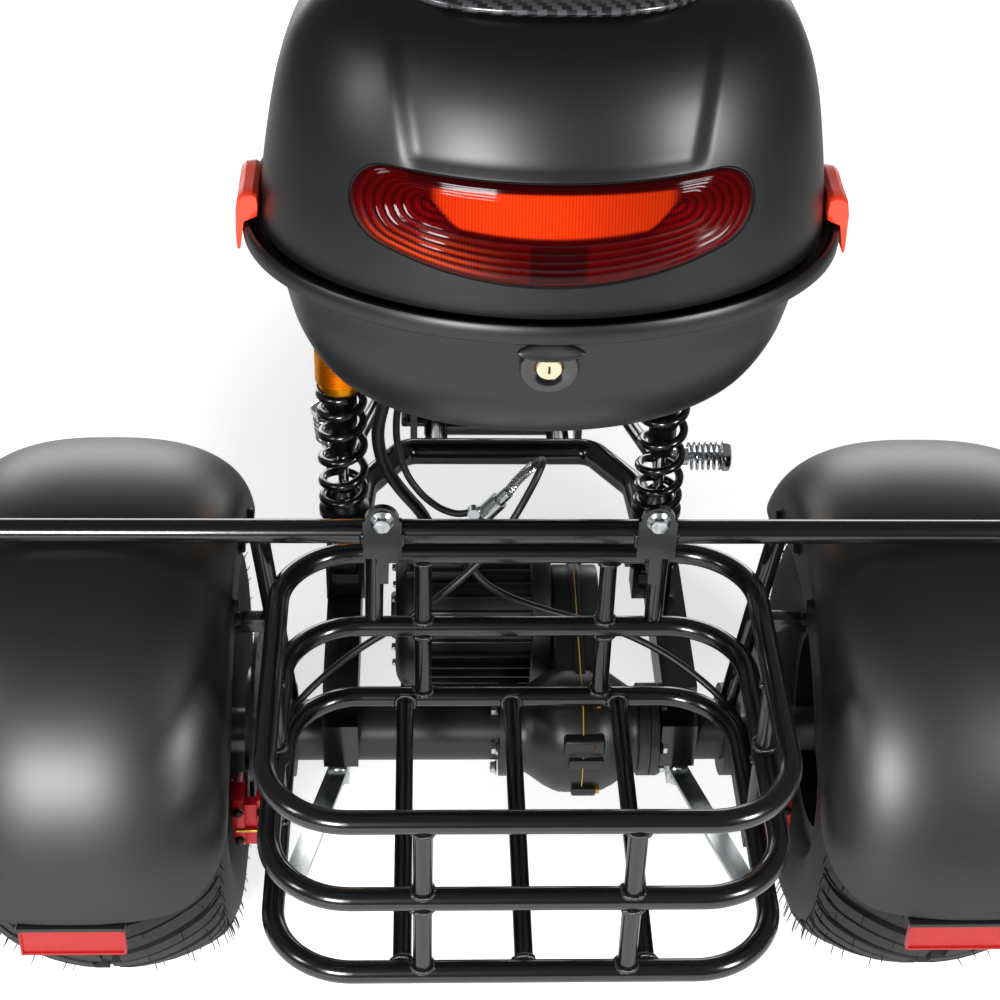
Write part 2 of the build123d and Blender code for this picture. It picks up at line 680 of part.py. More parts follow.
def box_base():
    """Lower half of the tail box: a bowl with a stout rim and hinge ears."""
    base = stacked(BASE_LEVELS, 0.0)
    base += extrude(
        box_outline(BOX_HALF_WIDTH, BOX_REAR_Y, BOX_FRONT_Y, BOX_RIM_Z - BOX_RIM_HEIGHT),
        BOX_RIM_HEIGHT,
    )
    cavity = stacked(BASE_LEVELS, BOX_WALL, BOX_WALL, BOX_RIM_HEIGHT + 1.0)
    base -= cavity
    base -= disc_y(0, BOX_REAR_Y + 14, LOCK_Z, LOCK_RADIUS, 60.0)
    for x in HINGE_XS:
        for end in (-1, 1):
            ear_x = x + end * 14.0
            ear = disc_x(ear_x, HINGE_Y, HINGE_Z, HINGE_RADIUS, 12.0)
            ear += block(
                ear_x - 6, ear_x + 6, BOX_FRONT_Y - 2, HINGE_Y, HINGE_Z - HINGE_RADIUS, HINGE_Z - 1.5
            )
            base += ear
        base += disc_x(x, HINGE_Y, HINGE_Z, HINGE_PIN_RADIUS, 40.0)
    return base


def box_lock():
    """Key lock in a recessed surround on the rear of the base."""
    return disc_y(0, BOX_REAR_Y + 22.0, LOCK_Z, LOCK_RADIUS - RUNNING_FIT, 22.0)


def lid_solid(grow):
    """Outer form of the lid, grown outwards by a given amount."""
    return stacked(LID_LEVELS, -grow)


def box_lid():
    """Domed upper half of the tail box, hinged at its front edge."""
    lid = lid_solid(0.0)
    rim_low = BOX_RIM_Z + LID_GAP
    lid += extrude(
        box_outline(BOX_HALF_WIDTH - 2, BOX_REAR_Y + 2, BOX_FRONT_Y - 2, rim_low), LID_RIM_HEIGHT
    )
    lid -= stacked(LID_LEVELS, BOX_WALL, -LID_RIM_HEIGHT, -BOX_WALL)
    for x in HINGE_XS:
        knuckle = disc_x(x, HINGE_Y, HINGE_Z, HINGE_RADIUS, 14.0)
        knuckle += block(
            x - 7, x + 7, BOX_FRONT_Y - 4, HINGE_Y, rim_low, HINGE_Z + HINGE_RADIUS
        )
        knuckle -= disc_x(x, HINGE_Y, HINGE_Z, HINGE_PIN_RADIUS + RUNNING_FIT, 40.0)
        lid += knuckle
    return lid


def box_latches():
    """Side latches on the lid whose tails hang over the rim of the base."""
    part = Part()
    for side in (-1, 1):
        inner = side * (BOX_HALF_WIDTH - 26.0)
        outer = side * (BOX_HALF_WIDTH + LATCH_STAND)
        y0 = BOX_WIDEST_Y - LATCH_WIDTH / 2
        part += block(inner, outer, y0, y0 + LATCH_WIDTH, LATCH_LOW_Z, LATCH_HIGH_Z)
    part -= lid_solid(SOFT_GAP)
    part -= extrude(
        box_outline(
            BOX_HALF_WIDTH + 1.0, BOX_REAR_Y - 1.0, BOX_FRONT_Y + 1.0, LATCH_LOW_Z - 1.0
        ),
        BOX_RIM_Z + LID_GAP + LID_RIM_HEIGHT + SOFT_GAP - LATCH_LOW_Z + 1.0,
    )
    return part


def tail_light():
    """Curved lamp lens laid into the rear of the lid."""
    shell = stacked(LID_LEVELS, -3.0) - stacked(LID_LEVELS, 0.0)
    mouth = Plane(origin=(0, BOX_WIDEST_Y, 0), x_dir=(1, 0, 0), z_dir=(0, -1, 0)) * lens_outline()
    return shell & extrude(mouth, 500.0)


def lens_outline():
    """Kidney outline of the lamp: sagging top edge and bellied lower edge."""
    z = BOX_RIM_Z
    top = ThreePointArc((-119, z + 116), (0, z + 110), (119, z + 116))
    right = ThreePointArc((119, z + 116), (135, z + 84), (116, z + 45))
    bottom = ThreePointArc((116, z + 45), (0, z + 33), (-116, z + 45))
    left = ThreePointArc((-116, z + 45), (-135, z + 84), (-119, z + 116))
    return make_face(Wire([top, right, bottom, left]))


# ---- Basket, fender bar and fenders ----
def fender_bar():
    """Cross tube over both fenders, with its two legs down to the axle ends."""
    bar = rod((-BAR_HALF_LENGTH, BAR_Y, BAR_Z), (BAR_HALF_LENGTH, BAR_Y, BAR_Z), BAR_RADIUS)
    for side in (-1, 1):
        top = (side * (AXLE_HALF_LENGTH + 9), BAR_Y, BAR_Z)
        foot = (side * (AXLE_HALF_LENGTH - 8), -6, HUB_Z + FLANGE_RADIUS - 4)
        bar += rod(top, foot, 9.0)
        bar -= disc_x(side * (AXLE_HALF_LENGTH - 6), 0, HUB_Z, FLANGE_RADIUS, 12.2)
        bar -= caliper_bracket(side)
    bar -= rod((-AXLE_HALF_LENGTH, 0, HUB_Z), (AXLE_HALF_LENGTH, 0, HUB_Z), AXLE_TUBE_RADIUS)
    return bar


def basket_ring(z):
    """One closed rounded-rectangle ring of tube."""
    width = 2 * BASKET_HALF_WIDTH
    length = BASKET_FRONT_Y - BASKET_REAR_Y
    centre_y = (BASKET_FRONT_Y + BASKET_REAR_Y) / 2
    path = RectangleRounded(width, length, BASKET_CORNER).wire()
    path = Pos(0, centre_y, z) * path
    section = Plane(origin=path @ 0, z_dir=path % 0) * Circle(BASKET_TUBE_RADIUS)
    return sweep(section, path=path)


def basket_top():
    """Upper and middle rings with their posts, lugs and tubes to the fender bar."""
    low, mid, high = BASKET_HEIGHTS
    part = basket_ring(high) + basket_ring(mid)
    for y in (BASKET_REAR_Y, BASKET_FRONT_Y):
        for side in (-1, 1):
            part += rod((side * BASKET_POST_X, y, mid), (side * BASKET_POST_X, y, high), 8.0)
    middle_y = (BASKET_REAR_Y + BASKET_FRONT_Y) / 2
    for side in (-1, 1):
        x = side * BASKET_HALF_WIDTH
        part += rod((x, middle_y, mid), (x, middle_y, high), 8.0)
        part += rod((side * 131, BASKET_FRONT_Y + 6, mid), (side * 128, BAR_Y + 6, BAR_Z), 8.5)
        lug = disc_y(side * LUG_X, BAR_Y - BAR_RADIUS - 3, LUG_Z, 15.0, 6.0)
        lug += block(
            side * LUG_X - 17,
            side * LUG_X + 17,
            BAR_Y - BAR_RADIUS - 6,
            BAR_Y - BAR_RADIUS,
            BAR_Z - 18,
            LUG_Z,
        )
        lug += block(
            side * LUG_X - 5,
            side * LUG_X + 5,
            BAR_Y - BAR_RADIUS - 5,
            BASKET_FRONT_Y,
            high,
            BAR_Z - 8,
        )
        part += lug
    part -= rod((-BAR_HALF_LENGTH, BAR_Y, BAR_Z), (BAR_HALF_LENGTH, BAR_Y, BAR_Z), BAR_RADIUS)
    return part


def basket_bottom():
    """Lower ring with three floor bars and the posts up to the middle ring."""
    low, mid, high = BASKET_HEIGHTS
    part = basket_ring(low)
    for x in (-BASKET_FLOOR_X, 0, BASKET_FLOOR_X):
        part += rod((x, BASKET_REAR_Y, low), (x, BASKET_FRONT_Y, low), 8.0)
    middle_y = (BASKET_REAR_Y + BASKET_FRONT_Y) / 2
    posts = [(s * BASKET_POST_X, y) for s in (-1, 1) for y in (BASKET_REAR_Y, BASKET_FRONT_Y)]
    posts += [(s * BASKET_HALF_WIDTH, middle_y) for s in (-1, 1)]
    for x, y in posts:
        part += rod((x, y, low), (x, y, mid), 8.0)
    part -= basket_ring(mid)
    return part


def basket_stays():
    """Flat bars from the axle back to the lower ring of the basket."""
    low = BASKET_HEIGHTS[0]
    stays = Part()
    for side in (-1, 1):
        start = Vector(side * 168, -20, HUB_Z - AXLE_TUBE_RADIUS - 2)
        end = Vector(side * 202, -268, low - BASKET_TUBE_RADIUS - 1)
        plane = Plane(origin=start, z_dir=end - start, x_dir=(1, 0, 0))
        stays += plane * Box(
            20, 4, (end - start).length, align=(Align.CENTER, Align.CENTER, Align.MIN)
        )
        stays += block(side * 168 - 10, side * 168 + 10, -30, 6, HUB_Z - 46, HUB_Z - 22)
    stays -= rod((-300, 0, HUB_Z), (300, 0, HUB_Z), AXLE_TUBE_RADIUS)
    stays -= basket_ring(low)
    return stays


def fender(side):
    """Rear fender: a curved skin with rounded shoulders and short skirts."""
    centre = wheel_x(side)
    outer = fender_section(FENDER_HALF_WIDTH, FENDER_RADIUS, FENDER_SHOULDER)
    inner = fender_section(
        FENDER_HALF_WIDTH - FENDER_WALL, FENDER_RADIUS - FENDER_WALL, FENDER_SHOULDER - FENDER_WALL
    )
    profile = outer - inner
    sweep_angle = FENDER_FRONT_ANGLE - FENDER_REAR_ANGLE
    skin = revolve(profile, axis=Axis.X, revolution_arc=sweep_angle)
    skin = Rot(180 - FENDER_FRONT_ANGLE, 0, 0) * skin
    tip = FENDER_RADIUS * sin(radians(FENDER_REAR_ANGLE))
    keep = block(-300, 300, -150, 400, -400, 400)
    end = Plane.XZ * Pos(0, tip + 200.0) * RectangleRounded(
        2 * FENDER_HALF_WIDTH, 400.0, FENDER_CORNER
    )
    keep += extrude(end, 500.0)
    return Pos(centre, 0, HUB_Z) * (skin & keep) + reflector_plate(side)


def fender_section(half_width, radius, shoulder):
    """Half-tunnel section in (x, radius) with rounded shoulders."""
    low = FENDER_RADIUS - FENDER_SHOULDER - FENDER_SKIRT
    points = [
        (-half_width, low),
        (-half_width, radius),
        (half_width, radius),
        (half_width, low),
    ]
    face = make_face(Polyline(*points, close=True))
    corners = face.vertices().sort_by(Axis.Y)[-2:]
    return fillet(corners, shoulder)


def reflector_face_y():
    """Rear face of the plates, just inside the fender skin."""
    rise = FENDER_RADIUS * sin(radians(FENDER_REAR_ANGLE)) + 12.0
    return -sqrt((FENDER_RADIUS - FENDER_WALL) ** 2 - rise**2)


def reflector_plate(side):
    """Plate behind the fender tip that carries the reflector."""
    x = wheel_x(side)
    y = reflector_face_y()
    tip_z = HUB_Z + FENDER_RADIUS * sin(radians(FENDER_REAR_ANGLE))
    plate = block(x - 40, x + 40, y, y + 3, tip_z - 26, tip_z + 12)
    return plate + block(x - 40, x + 40, y - 2, y, tip_z + 4, tip_z + 12)


def reflectors():
    """Rear reflectors on the plates below the fender tips."""
    part = Part()
    y = reflector_face_y()
    tip_z = HUB_Z + FENDER_RADIUS * sin(radians(FENDER_REAR_ANGLE))
    for side in (-1, 1):
        x = wheel_x(side)
        part += block(x - 38, x + 38, y - 8, y, tip_z - 26, tip_z - 4)
    return part


def calipers():
    """Rear brake calipers around the back of the discs."""
    part = Part()
    rear = -DISC_RADIUS - 24.0
    front = -DISC_RADIUS + 30.0
    slot = DISC_THICKNESS + 2 * CALIPER_SLOT_GAP
    for side in (-1, 1):
        x = side * DISC_X
        half = CALIPER_HALF_WIDTH
        body = block(x - half, x + half, rear, front, HUB_Z - 27, HUB_Z + 33)
        part += body - disc_x(x, 0, HUB_Z, DISC_RADIUS + 4.0, slot)
    return part


# ---- Controller, brake fittings and lines ----
def controller_box():
    """Motor controller hung under the seat pan."""
    rear = CONTROLLER_REAR_Y
    front = CONTROLLER_REAR_Y + CONTROLLER_LENGTH
    half = CONTROLLER_HALF_WIDTH
    return block(-half, half, rear, front, SEAT_PAN_Z - CONTROLLER_HEIGHT, SEAT_PAN_Z)


def brake_cylinder(frame):
    """Brake cylinder clamped to the inside of the left seat rail."""
    x = -SEAT_RAIL_X + 14.0 + BRAKE_CYLINDER_RADIUS
    rear = BRAKE_CYLINDER_REAR_Y
    front = rear + BRAKE_CYLINDER_LENGTH
    body = rod((x, rear, SEAT_RAIL_Z), (x, front, SEAT_RAIL_Z), BRAKE_CYLINDER_RADIUS)
    body += block(-SEAT_RAIL_X, x, rear + 20, rear + 44, SEAT_RAIL_Z - 6, SEAT_RAIL_Z + 6)
    return body - frame


TEE_LOW = (-25.0, 100.0, 422.0)
TEE_MIDDLE = (-11.0, 100.0, 439.0)
TEE_HIGH = (-3.0, 100.0, 448.7)
TEE_PORT = (-36.0, 100.0, 424.0)


def brake_tee():
    """Junction that splits the rear brake line, with a port on its side."""
    tee = rod(TEE_LOW, TEE_MIDDLE, 9.0)
    tee += rod(TEE_MIDDLE, TEE_HIGH, 6.0)
    tee += rod(TEE_PORT, (-18.0, 100.0, 430.5), 4.5)
    return tee + disc_y(*TEE_PORT, 6.0, 9.0)


def motor_cable():
    """Phase cable from the controller down to the motor."""
    points = [
        (-50, 196, 645),
        (-54, 160, 641),
        (-72, 128, 626),
        (-98, 110, 598),
        (-120, 104, 560),
        (-130, 106, 515),
        (-124, 114, 470),
        (-106, 126, 430),
        (-86, 138, 394),
        (-74, 146, 358),
        (-70, 148, 322),
    ]
    return cord_tube("motor_cable", points, MOTOR_CABLE_RADIUS) - controller_box() - drive_motor()


def supply_hose(cylinder):
    """Brake line from the cylinder under the seat to the port of the tee."""
    points = [
        (-38, 100, 424),
        (-52, 103, 419),
        (-68, 109, 421),
        (-84, 116, 430),
        (-98, 122, 446),
        (-107, 126, 468),
        (-111, 125, 494),
        (-111, 115, 522),
        (-109, 100, 548),
        (-106, 86, 576),
        (-101, 79, 606),
        (-94, 79, 634),
        (-88, 88, 656),
        (-85, 104, 667),
        (-85, 118, 669),
    ]
    return cord_tube("supply_hose", points, HOSE_RADIUS) - brake_tee() - cylinder


def left_brake_hose():
    """Brake line from the upper end of the tee, over a tight loop, to the left caliper."""
    points = [
        TEE_HIGH,
        (5, 100, 462),
        (15, 98, 476),
        (23, 93, 489),
        (28, 84, 500),
        (27, 72, 502),
        (20, 61, 491),
        (10, 52, 474),
        (-2, 43, 455),
        (-18, 34, 434),
        (-38, 26, 413),
        (-62, 19, 392),
        (-88, 14, 371),
        (-114, 10, 352),
        (-142, 4, 336),
        (-170, -8, 319),
        (-197, -26, 302),
        (-216, -50, 292),
        (-228, -74, 285),
        (-234, -92, 275),
        (-235, -100, 256),
    ]
    return cord_tube("left_brake_hose", points, HOSE_RADIUS) - brake_tee() - calipers()


def right_brake_hose():
    """Brake line from the lower end of the tee to the right caliper."""
    points = [
        TEE_LOW,
        (-36, 98, 409),
        (-43, 92, 390),
        (-40, 84, 370),
        (-24, 75, 354),
        (2, 66, 343),
        (36, 55, 337),
        (74, 42, 335),
        (112, 24, 334),
        (146, 6, 327),
        (174, -10, 315),
        (199, -28, 302),
        (216, -50, 292),
        (228, -74, 285),
        (234, -92, 275),
        (235, -100, 256),
    ]
    return cord_tube("right_brake_hose", points, HOSE_RADIUS) - brake_tee() - calipers()


# ---- Steering, drawn in the steering frame (Z along the steering axis) ----
def fork_clamps():
    """Upper and lower fork clamps with the steering stem between them."""
    part = Part()
    for s in (LOWER_CLAMP_S, UPPER_CLAMP_S):
        clamp = Pos(0, FORK_OFFSET / 2, s) * extrude(
            RectangleRounded(2 * FORK_HALF_WIDTH + 70, 64, 20), CLAMP_THICKNESS
        )
        part += clamp
    part += Pos(0, 0, LOWER_CLAMP_S) * Cylinder(
        STEM_RADIUS, UPPER_CLAMP_S - LOWER_CLAMP_S + 10, align=(Align.CENTER, Align.CENTER, Align.MIN)
    )
    for side in (-1, 1):
        part -= Pos(side * FORK_HALF_WIDTH, FORK_OFFSET, 0) * Cylinder(STANCHION_RADIUS, 3000)
        part += rod((side * 46, 0, UPPER_CLAMP_S + 10), (side * 46, 0, HANDLEBAR_S), 14.0)
    part -= handlebar_path_rod(HANDLEBAR_RADIUS)
    return STEER_PLANE * part


def fork_legs():
    """Two fork legs with their axle lugs."""
    part = Part()
    for side in (-1, 1):
        x = side * FORK_HALF_WIDTH
        part += rod((x, FORK_OFFSET, -32), (x, FORK_OFFSET, 240), SLIDER_RADIUS)
        top = UPPER_CLAMP_S + CLAMP_THICKNESS + 8
        part += rod((x, FORK_OFFSET, 200), (x, FORK_OFFSET, top), STANCHION_RADIUS)
        part -= disc_x(x, FORK_OFFSET, 0, 10.0, 80)
    return STEER_PLANE * part


def handlebar_path_rod(radius):
    """The bent handlebar tube in the steering frame."""
    s = HANDLEBAR_S
    half = [
        (HANDLEBAR_REACH, -128, s - 30),
        (210, -46, s - 6),
        (90, 0, s),
    ]
    points = half + [(-x, y, z) for x, y, z in reversed(half)]
    return bent_rod(points, radius, [60.0, 60.0, 60.0, 60.0])


def handlebar():
    """Swept-back handlebar in the riser clamps."""
    return STEER_PLANE * handlebar_path_rod(HANDLEBAR_RADIUS)


def grip_line(side):
    """End point and inward direction of one grip."""
    end = Vector(side * HANDLEBAR_REACH, -128, HANDLEBAR_S - 30)
    inner = Vector(side * 210, -46, HANDLEBAR_S - 6)
    return end, (inner - end).normalized()


def handgrips():
    """Rubber grips on the bar ends."""
    part = Part()
    for side in (-1, 1):
        end, inward = grip_line(side)
        a = end - inward * 3.0
        b = end + inward * GRIP_LENGTH
        part += rod(a, b, GRIP_RADIUS)
        c = end - inward * 0.3
        part -= rod(c, (b + inward * 5), HANDLEBAR_RADIUS)
    return STEER_PLANE * part


def brake_levers():
    """Brake levers with their perches beside the grips."""
    part = Part()
    for side in (-1, 1):
        end, inward = grip_line(side)
        seat = end + inward * (GRIP_LENGTH + 8)
        seat_end = end + inward * (GRIP_LENGTH + 34)
        part += rod(seat, seat_end, 18.0)
        pivot = end + inward * (GRIP_LENGTH + 22) + Vector(0, 36, 0)
        part += rod((end + inward * (GRIP_LENGTH + 22)), pivot, 9.0)
        tip = end + inward * 12 + Vector(0, 52, 0)
        part += rod(pivot, tip, 5.5)
        part -= rod((end - inward * 5), (seat_end + inward * 8), HANDLEBAR_RADIUS)
    return STEER_PLANE * part


def display():
    """Round instrument on the middle of the handlebar."""
    body = Pos(0, 6, HANDLEBAR_S + HANDLEBAR_RADIUS + 15) * Rot(20, 0, 0) * Cylinder(42, 22)
    foot = block(-16, 16, -9, 9, HANDLEBAR_S + 2, HANDLEBAR_S + HANDLEBAR_RADIUS + 12)
    return STEER_PLANE * (body + foot - handlebar_path_rod(HANDLEBAR_RADIUS))


def headlight():
    """Bowl of the round headlight with its arms to the fork."""
    profile = [
        (0, 0),
        (HEADLIGHT_RADIUS * 0.55, 0),
        (HEADLIGHT_RADIUS, 62),
        (HEADLIGHT_RADIUS, 92),
        (0, 92),
    ]
    face = make_face(Polyline(*profile, close=True))
    bowl = revolve(Plane.XY * face, axis=Axis.Y)
    bowl = Pos(0, HEADLIGHT_Y - 46, HEADLIGHT_Z) * bowl
    arms = Part() + bowl
    for side in (-1, 1):
        near = frame_point(side * (FORK_HALF_WIDTH - 8), FORK_OFFSET, UPPER_CLAMP_S - 26)
        arms += rod(
            near, (side * (HEADLIGHT_RADIUS - 6), HEADLIGHT_Y, HEADLIGHT_Z), 8.0
        )
        leg = STEER_PLANE * rod(
            (side * FORK_HALF_WIDTH, FORK_OFFSET, 0),
            (side * FORK_HALF_WIDTH, FORK_OFFSET, 900),
            STANCHION_RADIUS,
        )
        arms -= leg
    return arms


def headlight_lens():
    """Clear front of the headlight."""
    y = HEADLIGHT_Y + 46
    return disc_y(0, y + 5.0, HEADLIGHT_Z, HEADLIGHT_RADIUS - 4, 10.0)


def front_signals():
    """Turn signals on stalks beside the headlight."""
    part = Part()
    y = HEADLIGHT_Y + 16
    z = HEADLIGHT_Z - 10
    for side in (-1, 1):
        stalk_end = side * (HEADLIGHT_RADIUS + 62)
        part += rod((side * (HEADLIGHT_RADIUS - 2), y, z), (stalk_end, y, z), 7.0)
        part += disc_y(stalk_end + side * 12, y, z, 24.0, 34.0)
    bowl_core = disc_y(0, HEADLIGHT_Y, HEADLIGHT_Z, HEADLIGHT_RADIUS, 200)
    return part - bowl_core


def mirrors():
    """Rear-view mirrors on stalks from the handlebar."""
    part = Part()
    s = HANDLEBAR_S
    for side in (-1, 1):
        end, inward = grip_line(side)
        seat = end + inward * (GRIP_LENGTH + 50)
        part += rod(seat, (seat + Vector(0, 0, 26)), 9.0)
        head = seat + Vector(side * 64, 30, 120)
        part += rod((seat + Vector(0, 0, 20)), head, 5.0)
        part += Pos(head.X, head.Y, head.Z) * Rot(90 - RAKE * 0.9, 0, 0) * extrude(
            Ellipse(62, 40), 8.0, both=True
        )
    part -= handlebar_path_rod(HANDLEBAR_RADIUS)
    return STEER_PLANE * part


def front_fender():
    """Front fender over the steered wheel, with stays to the fork legs."""
    outer_r = FRONT_FENDER_RADIUS
    half = FORK_HALF_WIDTH - SLIDER_RADIUS - 4.0
    low = outer_r - 60.0

    def section(half_width, radius, shoulder):
        points = [(-half_width, low), (-half_width, radius), (half_width, radius), (half_width, low)]
        face = make_face(Polyline(*points, close=True))
        return fillet(face.vertices().sort_by(Axis.Y)[-2:], shoulder)

    profile = section(half, outer_r, 44.0) - section(half - 4, outer_r - 4, 40.0)
    skin = revolve(profile, axis=Axis.X, revolution_arc=FRONT_FENDER_ARC)
    skin = Rot(FRONT_FENDER_START, 0, 0) * skin
    skin = Pos(0, WHEELBASE, HUB_Z) * skin
    stays = Part()
    for side in (-1, 1):
        x = side * (half + 2)
        stay = block(x - 2, x + 2, FORK_OFFSET - 22, FORK_OFFSET + 22, 170, 236)
        leg_x = side * FORK_HALF_WIDTH
        leg = rod((leg_x, FORK_OFFSET, -40), (leg_x, FORK_OFFSET, 300), SLIDER_RADIUS)
        stays += STEER_PLANE * (stay - leg)
    return skin + stays


def front_axle():
    """Spindle through the fork lugs."""
    half = FORK_HALF_WIDTH + SLIDER_RADIUS + 6
    spindle = rod((-half, FORK_OFFSET, 0), (half, FORK_OFFSET, 0), 10.0)
    for side in (-1, 1):
        nut = disc_x(side * (half - 2), FORK_OFFSET, 0, 16.0, 8.0)
        spindle += nut
        spacer = rod(
            (side * 60, FORK_OFFSET, 0),
            (side * (FORK_HALF_WIDTH - SLIDER_RADIUS - SOFT_GAP), FORK_OFFSET, 0),
            14.0,
        )
        spindle += spacer
    return STEER_PLANE * spindle


def front_wheel():
    """Turning pieces of the front wheel."""
    centre = Pos(0, WHEELBASE, HUB_Z)
    tyre = centre * tyre_shape()
    rim = rim_shape(10.0 + RUNNING_FIT, 0.0)
    carrier_end = FRONT_DISC_X + DISC_THICKNESS / 2
    rim += rod((carrier_end, 0, 0), (-20, 0, 0), 30.0) - rod((-200, 0, 0), (200, 0, 0), 15.0)
    disc = Pos(FRONT_DISC_X, 0, 0) * brake_disc_shape(FRONT_DISC_RADIUS, 4.0, 15.0)
    return tyre, centre * rim, centre * disc


def front_caliper():
    """Front brake caliper with its arm to the left fork leg."""
    rear = -FRONT_DISC_RADIUS - 12.0
    front = -FRONT_DISC_RADIUS + 28.0
    half = 11.0
    slot = DISC_THICKNESS + 2 * CALIPER_SLOT_GAP
    body = block(FRONT_DISC_X - half - 9.0, FRONT_DISC_X + half, rear, front, -26, 26)
    body -= disc_x(FRONT_DISC_X, 0, 0, FRONT_DISC_RADIUS + 4.0, slot)
    leg_face = -FORK_HALF_WIDTH + SLIDER_RADIUS
    arm = block(leg_face - 12.0, leg_face + 11.0, front - 8.0, 10.0, -14, 14)
    arm -= disc_x(leg_face, 0, 0, 24.0, 100.0)
    leg = STEER_PLANE * rod(
        (-FORK_HALF_WIDTH, FORK_OFFSET, -40),
        (-FORK_HALF_WIDTH, FORK_OFFSET, 300),
        SLIDER_RADIUS,
    )
    return Pos(0, WHEELBASE, HUB_Z) * (body + arm) - leg


# ---- Footpegs ----
def footpeg(side):
    """Folding footpeg with ribbed sleeve and hinge tongue; the left one is parked up."""
    start = side * (PEG_HINGE_X + PEG_START)
    end = side * (PEG_HINGE_X + PEG_START + PEG_LENGTH)
    peg = rod((start, PEG_Y, PEG_Z), (end, PEG_Y, PEG_Z), 12.0)
    for i in range(4):
        peg += disc_x(start + side * (6 + i * 11), PEG_Y, PEG_Z, 17.0, 4.0)
    peg += disc_x(end - side * 2.5, PEG_Y, PEG_Z, 17.0, 5.0)
    hinge = side * PEG_HINGE_X
    peg += block(hinge, start, PEG_Y - 8, PEG_Y + 8, PEG_Z - 7, PEG_Z + 7)
    peg += disc_y(hinge, PEG_Y, PEG_Z, 7.0, 16.0)
    peg -= disc_y(hinge, PEG_Y, PEG_Z, PEG_PIN_RADIUS + RUNNING_FIT, 40.0)
    if side < 0:
        pivot = Pos(hinge, PEG_Y, PEG_Z)
        peg = pivot * Rot(0, PEG_FOLD, 0) * pivot.inverse() * peg
    return peg


def peg_brackets(frame):
    """Arms from the frame out to the footpegs, each with a fork and a pin."""
    part = Part()
    for side in (-1, 1):
        hinge = side * PEG_HINGE_X
        back = side * (PEG_HINGE_X - 14.0)
        arm_end = (back - side * 4, PEG_Y, PEG_Z)
        part += rod((side * RAIL_X, DECK_REAR_Y - 70, RAIL_Z), arm_end, 8.0)
        part += block(back - 4, back + 4, PEG_Y - 16.5, PEG_Y + 16.5, PEG_Z - 9, PEG_Z + 8)
        for cheek in (-1, 1):
            y = PEG_Y + cheek * PEG_CHEEK_Y
            part += block(back, hinge + side * 6, y - 2.5, y + 2.5, PEG_Z - 9, PEG_Z + 8)
        part += disc_y(hinge, PEG_Y, PEG_Z, PEG_PIN_RADIUS, 2 * PEG_CHEEK_Y)
    return part - frame


# ---- Export ----
def save(name, shape):
    """Write one node's STEP file in the shared frame."""
    placed = Pos(0, SHIFT_Y, 0) * shape
    solids = placed.solids()
    placed = solids[0] if len(solids) == 1 else Compound(children=list(solids))
    placed.label = name
    export_step(placed, f"parts/{name}.step")
    box = placed.bounding_box()
    print(f"{name:24s} solids {len(solids)} size {box.size.X:.0f} {box.size.Y:.0f} {box.size.Z:.0f}")


def main():
    os.makedirs("parts", exist_ok=True)
    frame = main_frame()
    save("main_frame", frame)
    save("swing_arm", swing_arm())
    save("foot_deck", foot_deck())
    save("battery_case", battery_case())
    save("seat_pan", seat_pan())
    save("rider_seat", rider_seat())
    save("box_rack", box_rack())
    save("tail_box_base", box_base())
    save("box_lock", box_lock())
    save("tail_box_lid", box_lid())
    save("tail_light", tail_light())
    save("box_latches", box_latches())
    save("axle_housing", axle_housing())
    save("differential", differential())
    save("drive_motor", drive_motor())
    left_shock = shock(-1)
    right_shock = shock(1)
    shock_names = ("shock_dampers", "shock_collars", "shock_springs")
    for name, left, right in zip(shock_names, left_shock, right_shock):
        save(name, left + right)
    save("fender_bar", fender_bar())
    save("basket_top", basket_top())
    save("basket_bottom", basket_bottom())
    save("basket_stays", basket_stays())
    for name, side in (("left", -1), ("right", 1)):
        save(f"rear_fender_{name}", fender(side))
        tyre, rim, hub, disc = rear_wheel(side)
        save(f"rear_{name}_tyre", tyre)
        save(f"rear_{name}_rim", rim)
        save(f"rear_{name}_hub", hub)
        save(f"rear_{name}_brake_disc", disc)
        save(f"footpeg_{name}", footpeg(side))
    save("reflectors", reflectors())
    save("rear_calipers", calipers())
    save("peg_brackets", peg_brackets(frame))
    save("controller_box", controller_box())
    cylinder = brake_cylinder(frame)
    save("brake_fittings", brake_tee() + cylinder)
    save("motor_cable", motor_cable())
    save("supply_hose", supply_hose(cylinder))
    save("left_brake_hose", left_brake_hose())
    save("right_brake_hose", right_brake_hose())
    save("fork_clamps", fork_clamps())
    save("fork_legs", fork_legs())
    save("handlebar", handlebar())
    save("handgrips", handgrips())
    save("brake_levers", brake_levers())
    save("display", display())
    save("headlight", headlight())
    save("headlight_lens", headlight_lens())
    save("front_signals", front_signals())
    save("mirrors", mirrors())
    save("front_fender", front_fender())
    save("front_axle", front_axle())
    tyre, rim, disc = front_wheel()
    save("front_tyre", tyre)
    save("front_rim", rim)
    save("front_brake_disc", disc)
    save("front_caliper", front_caliper())


if __name__ == "__main__":
    main()
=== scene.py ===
from math import asin, atan2, copysign, cos, exp, hypot, pi, radians, sin, sqrt, tau

import bmesh
import bpy
from mathutils import Matrix, Vector
from mathutils.bvhtree import BVHTree


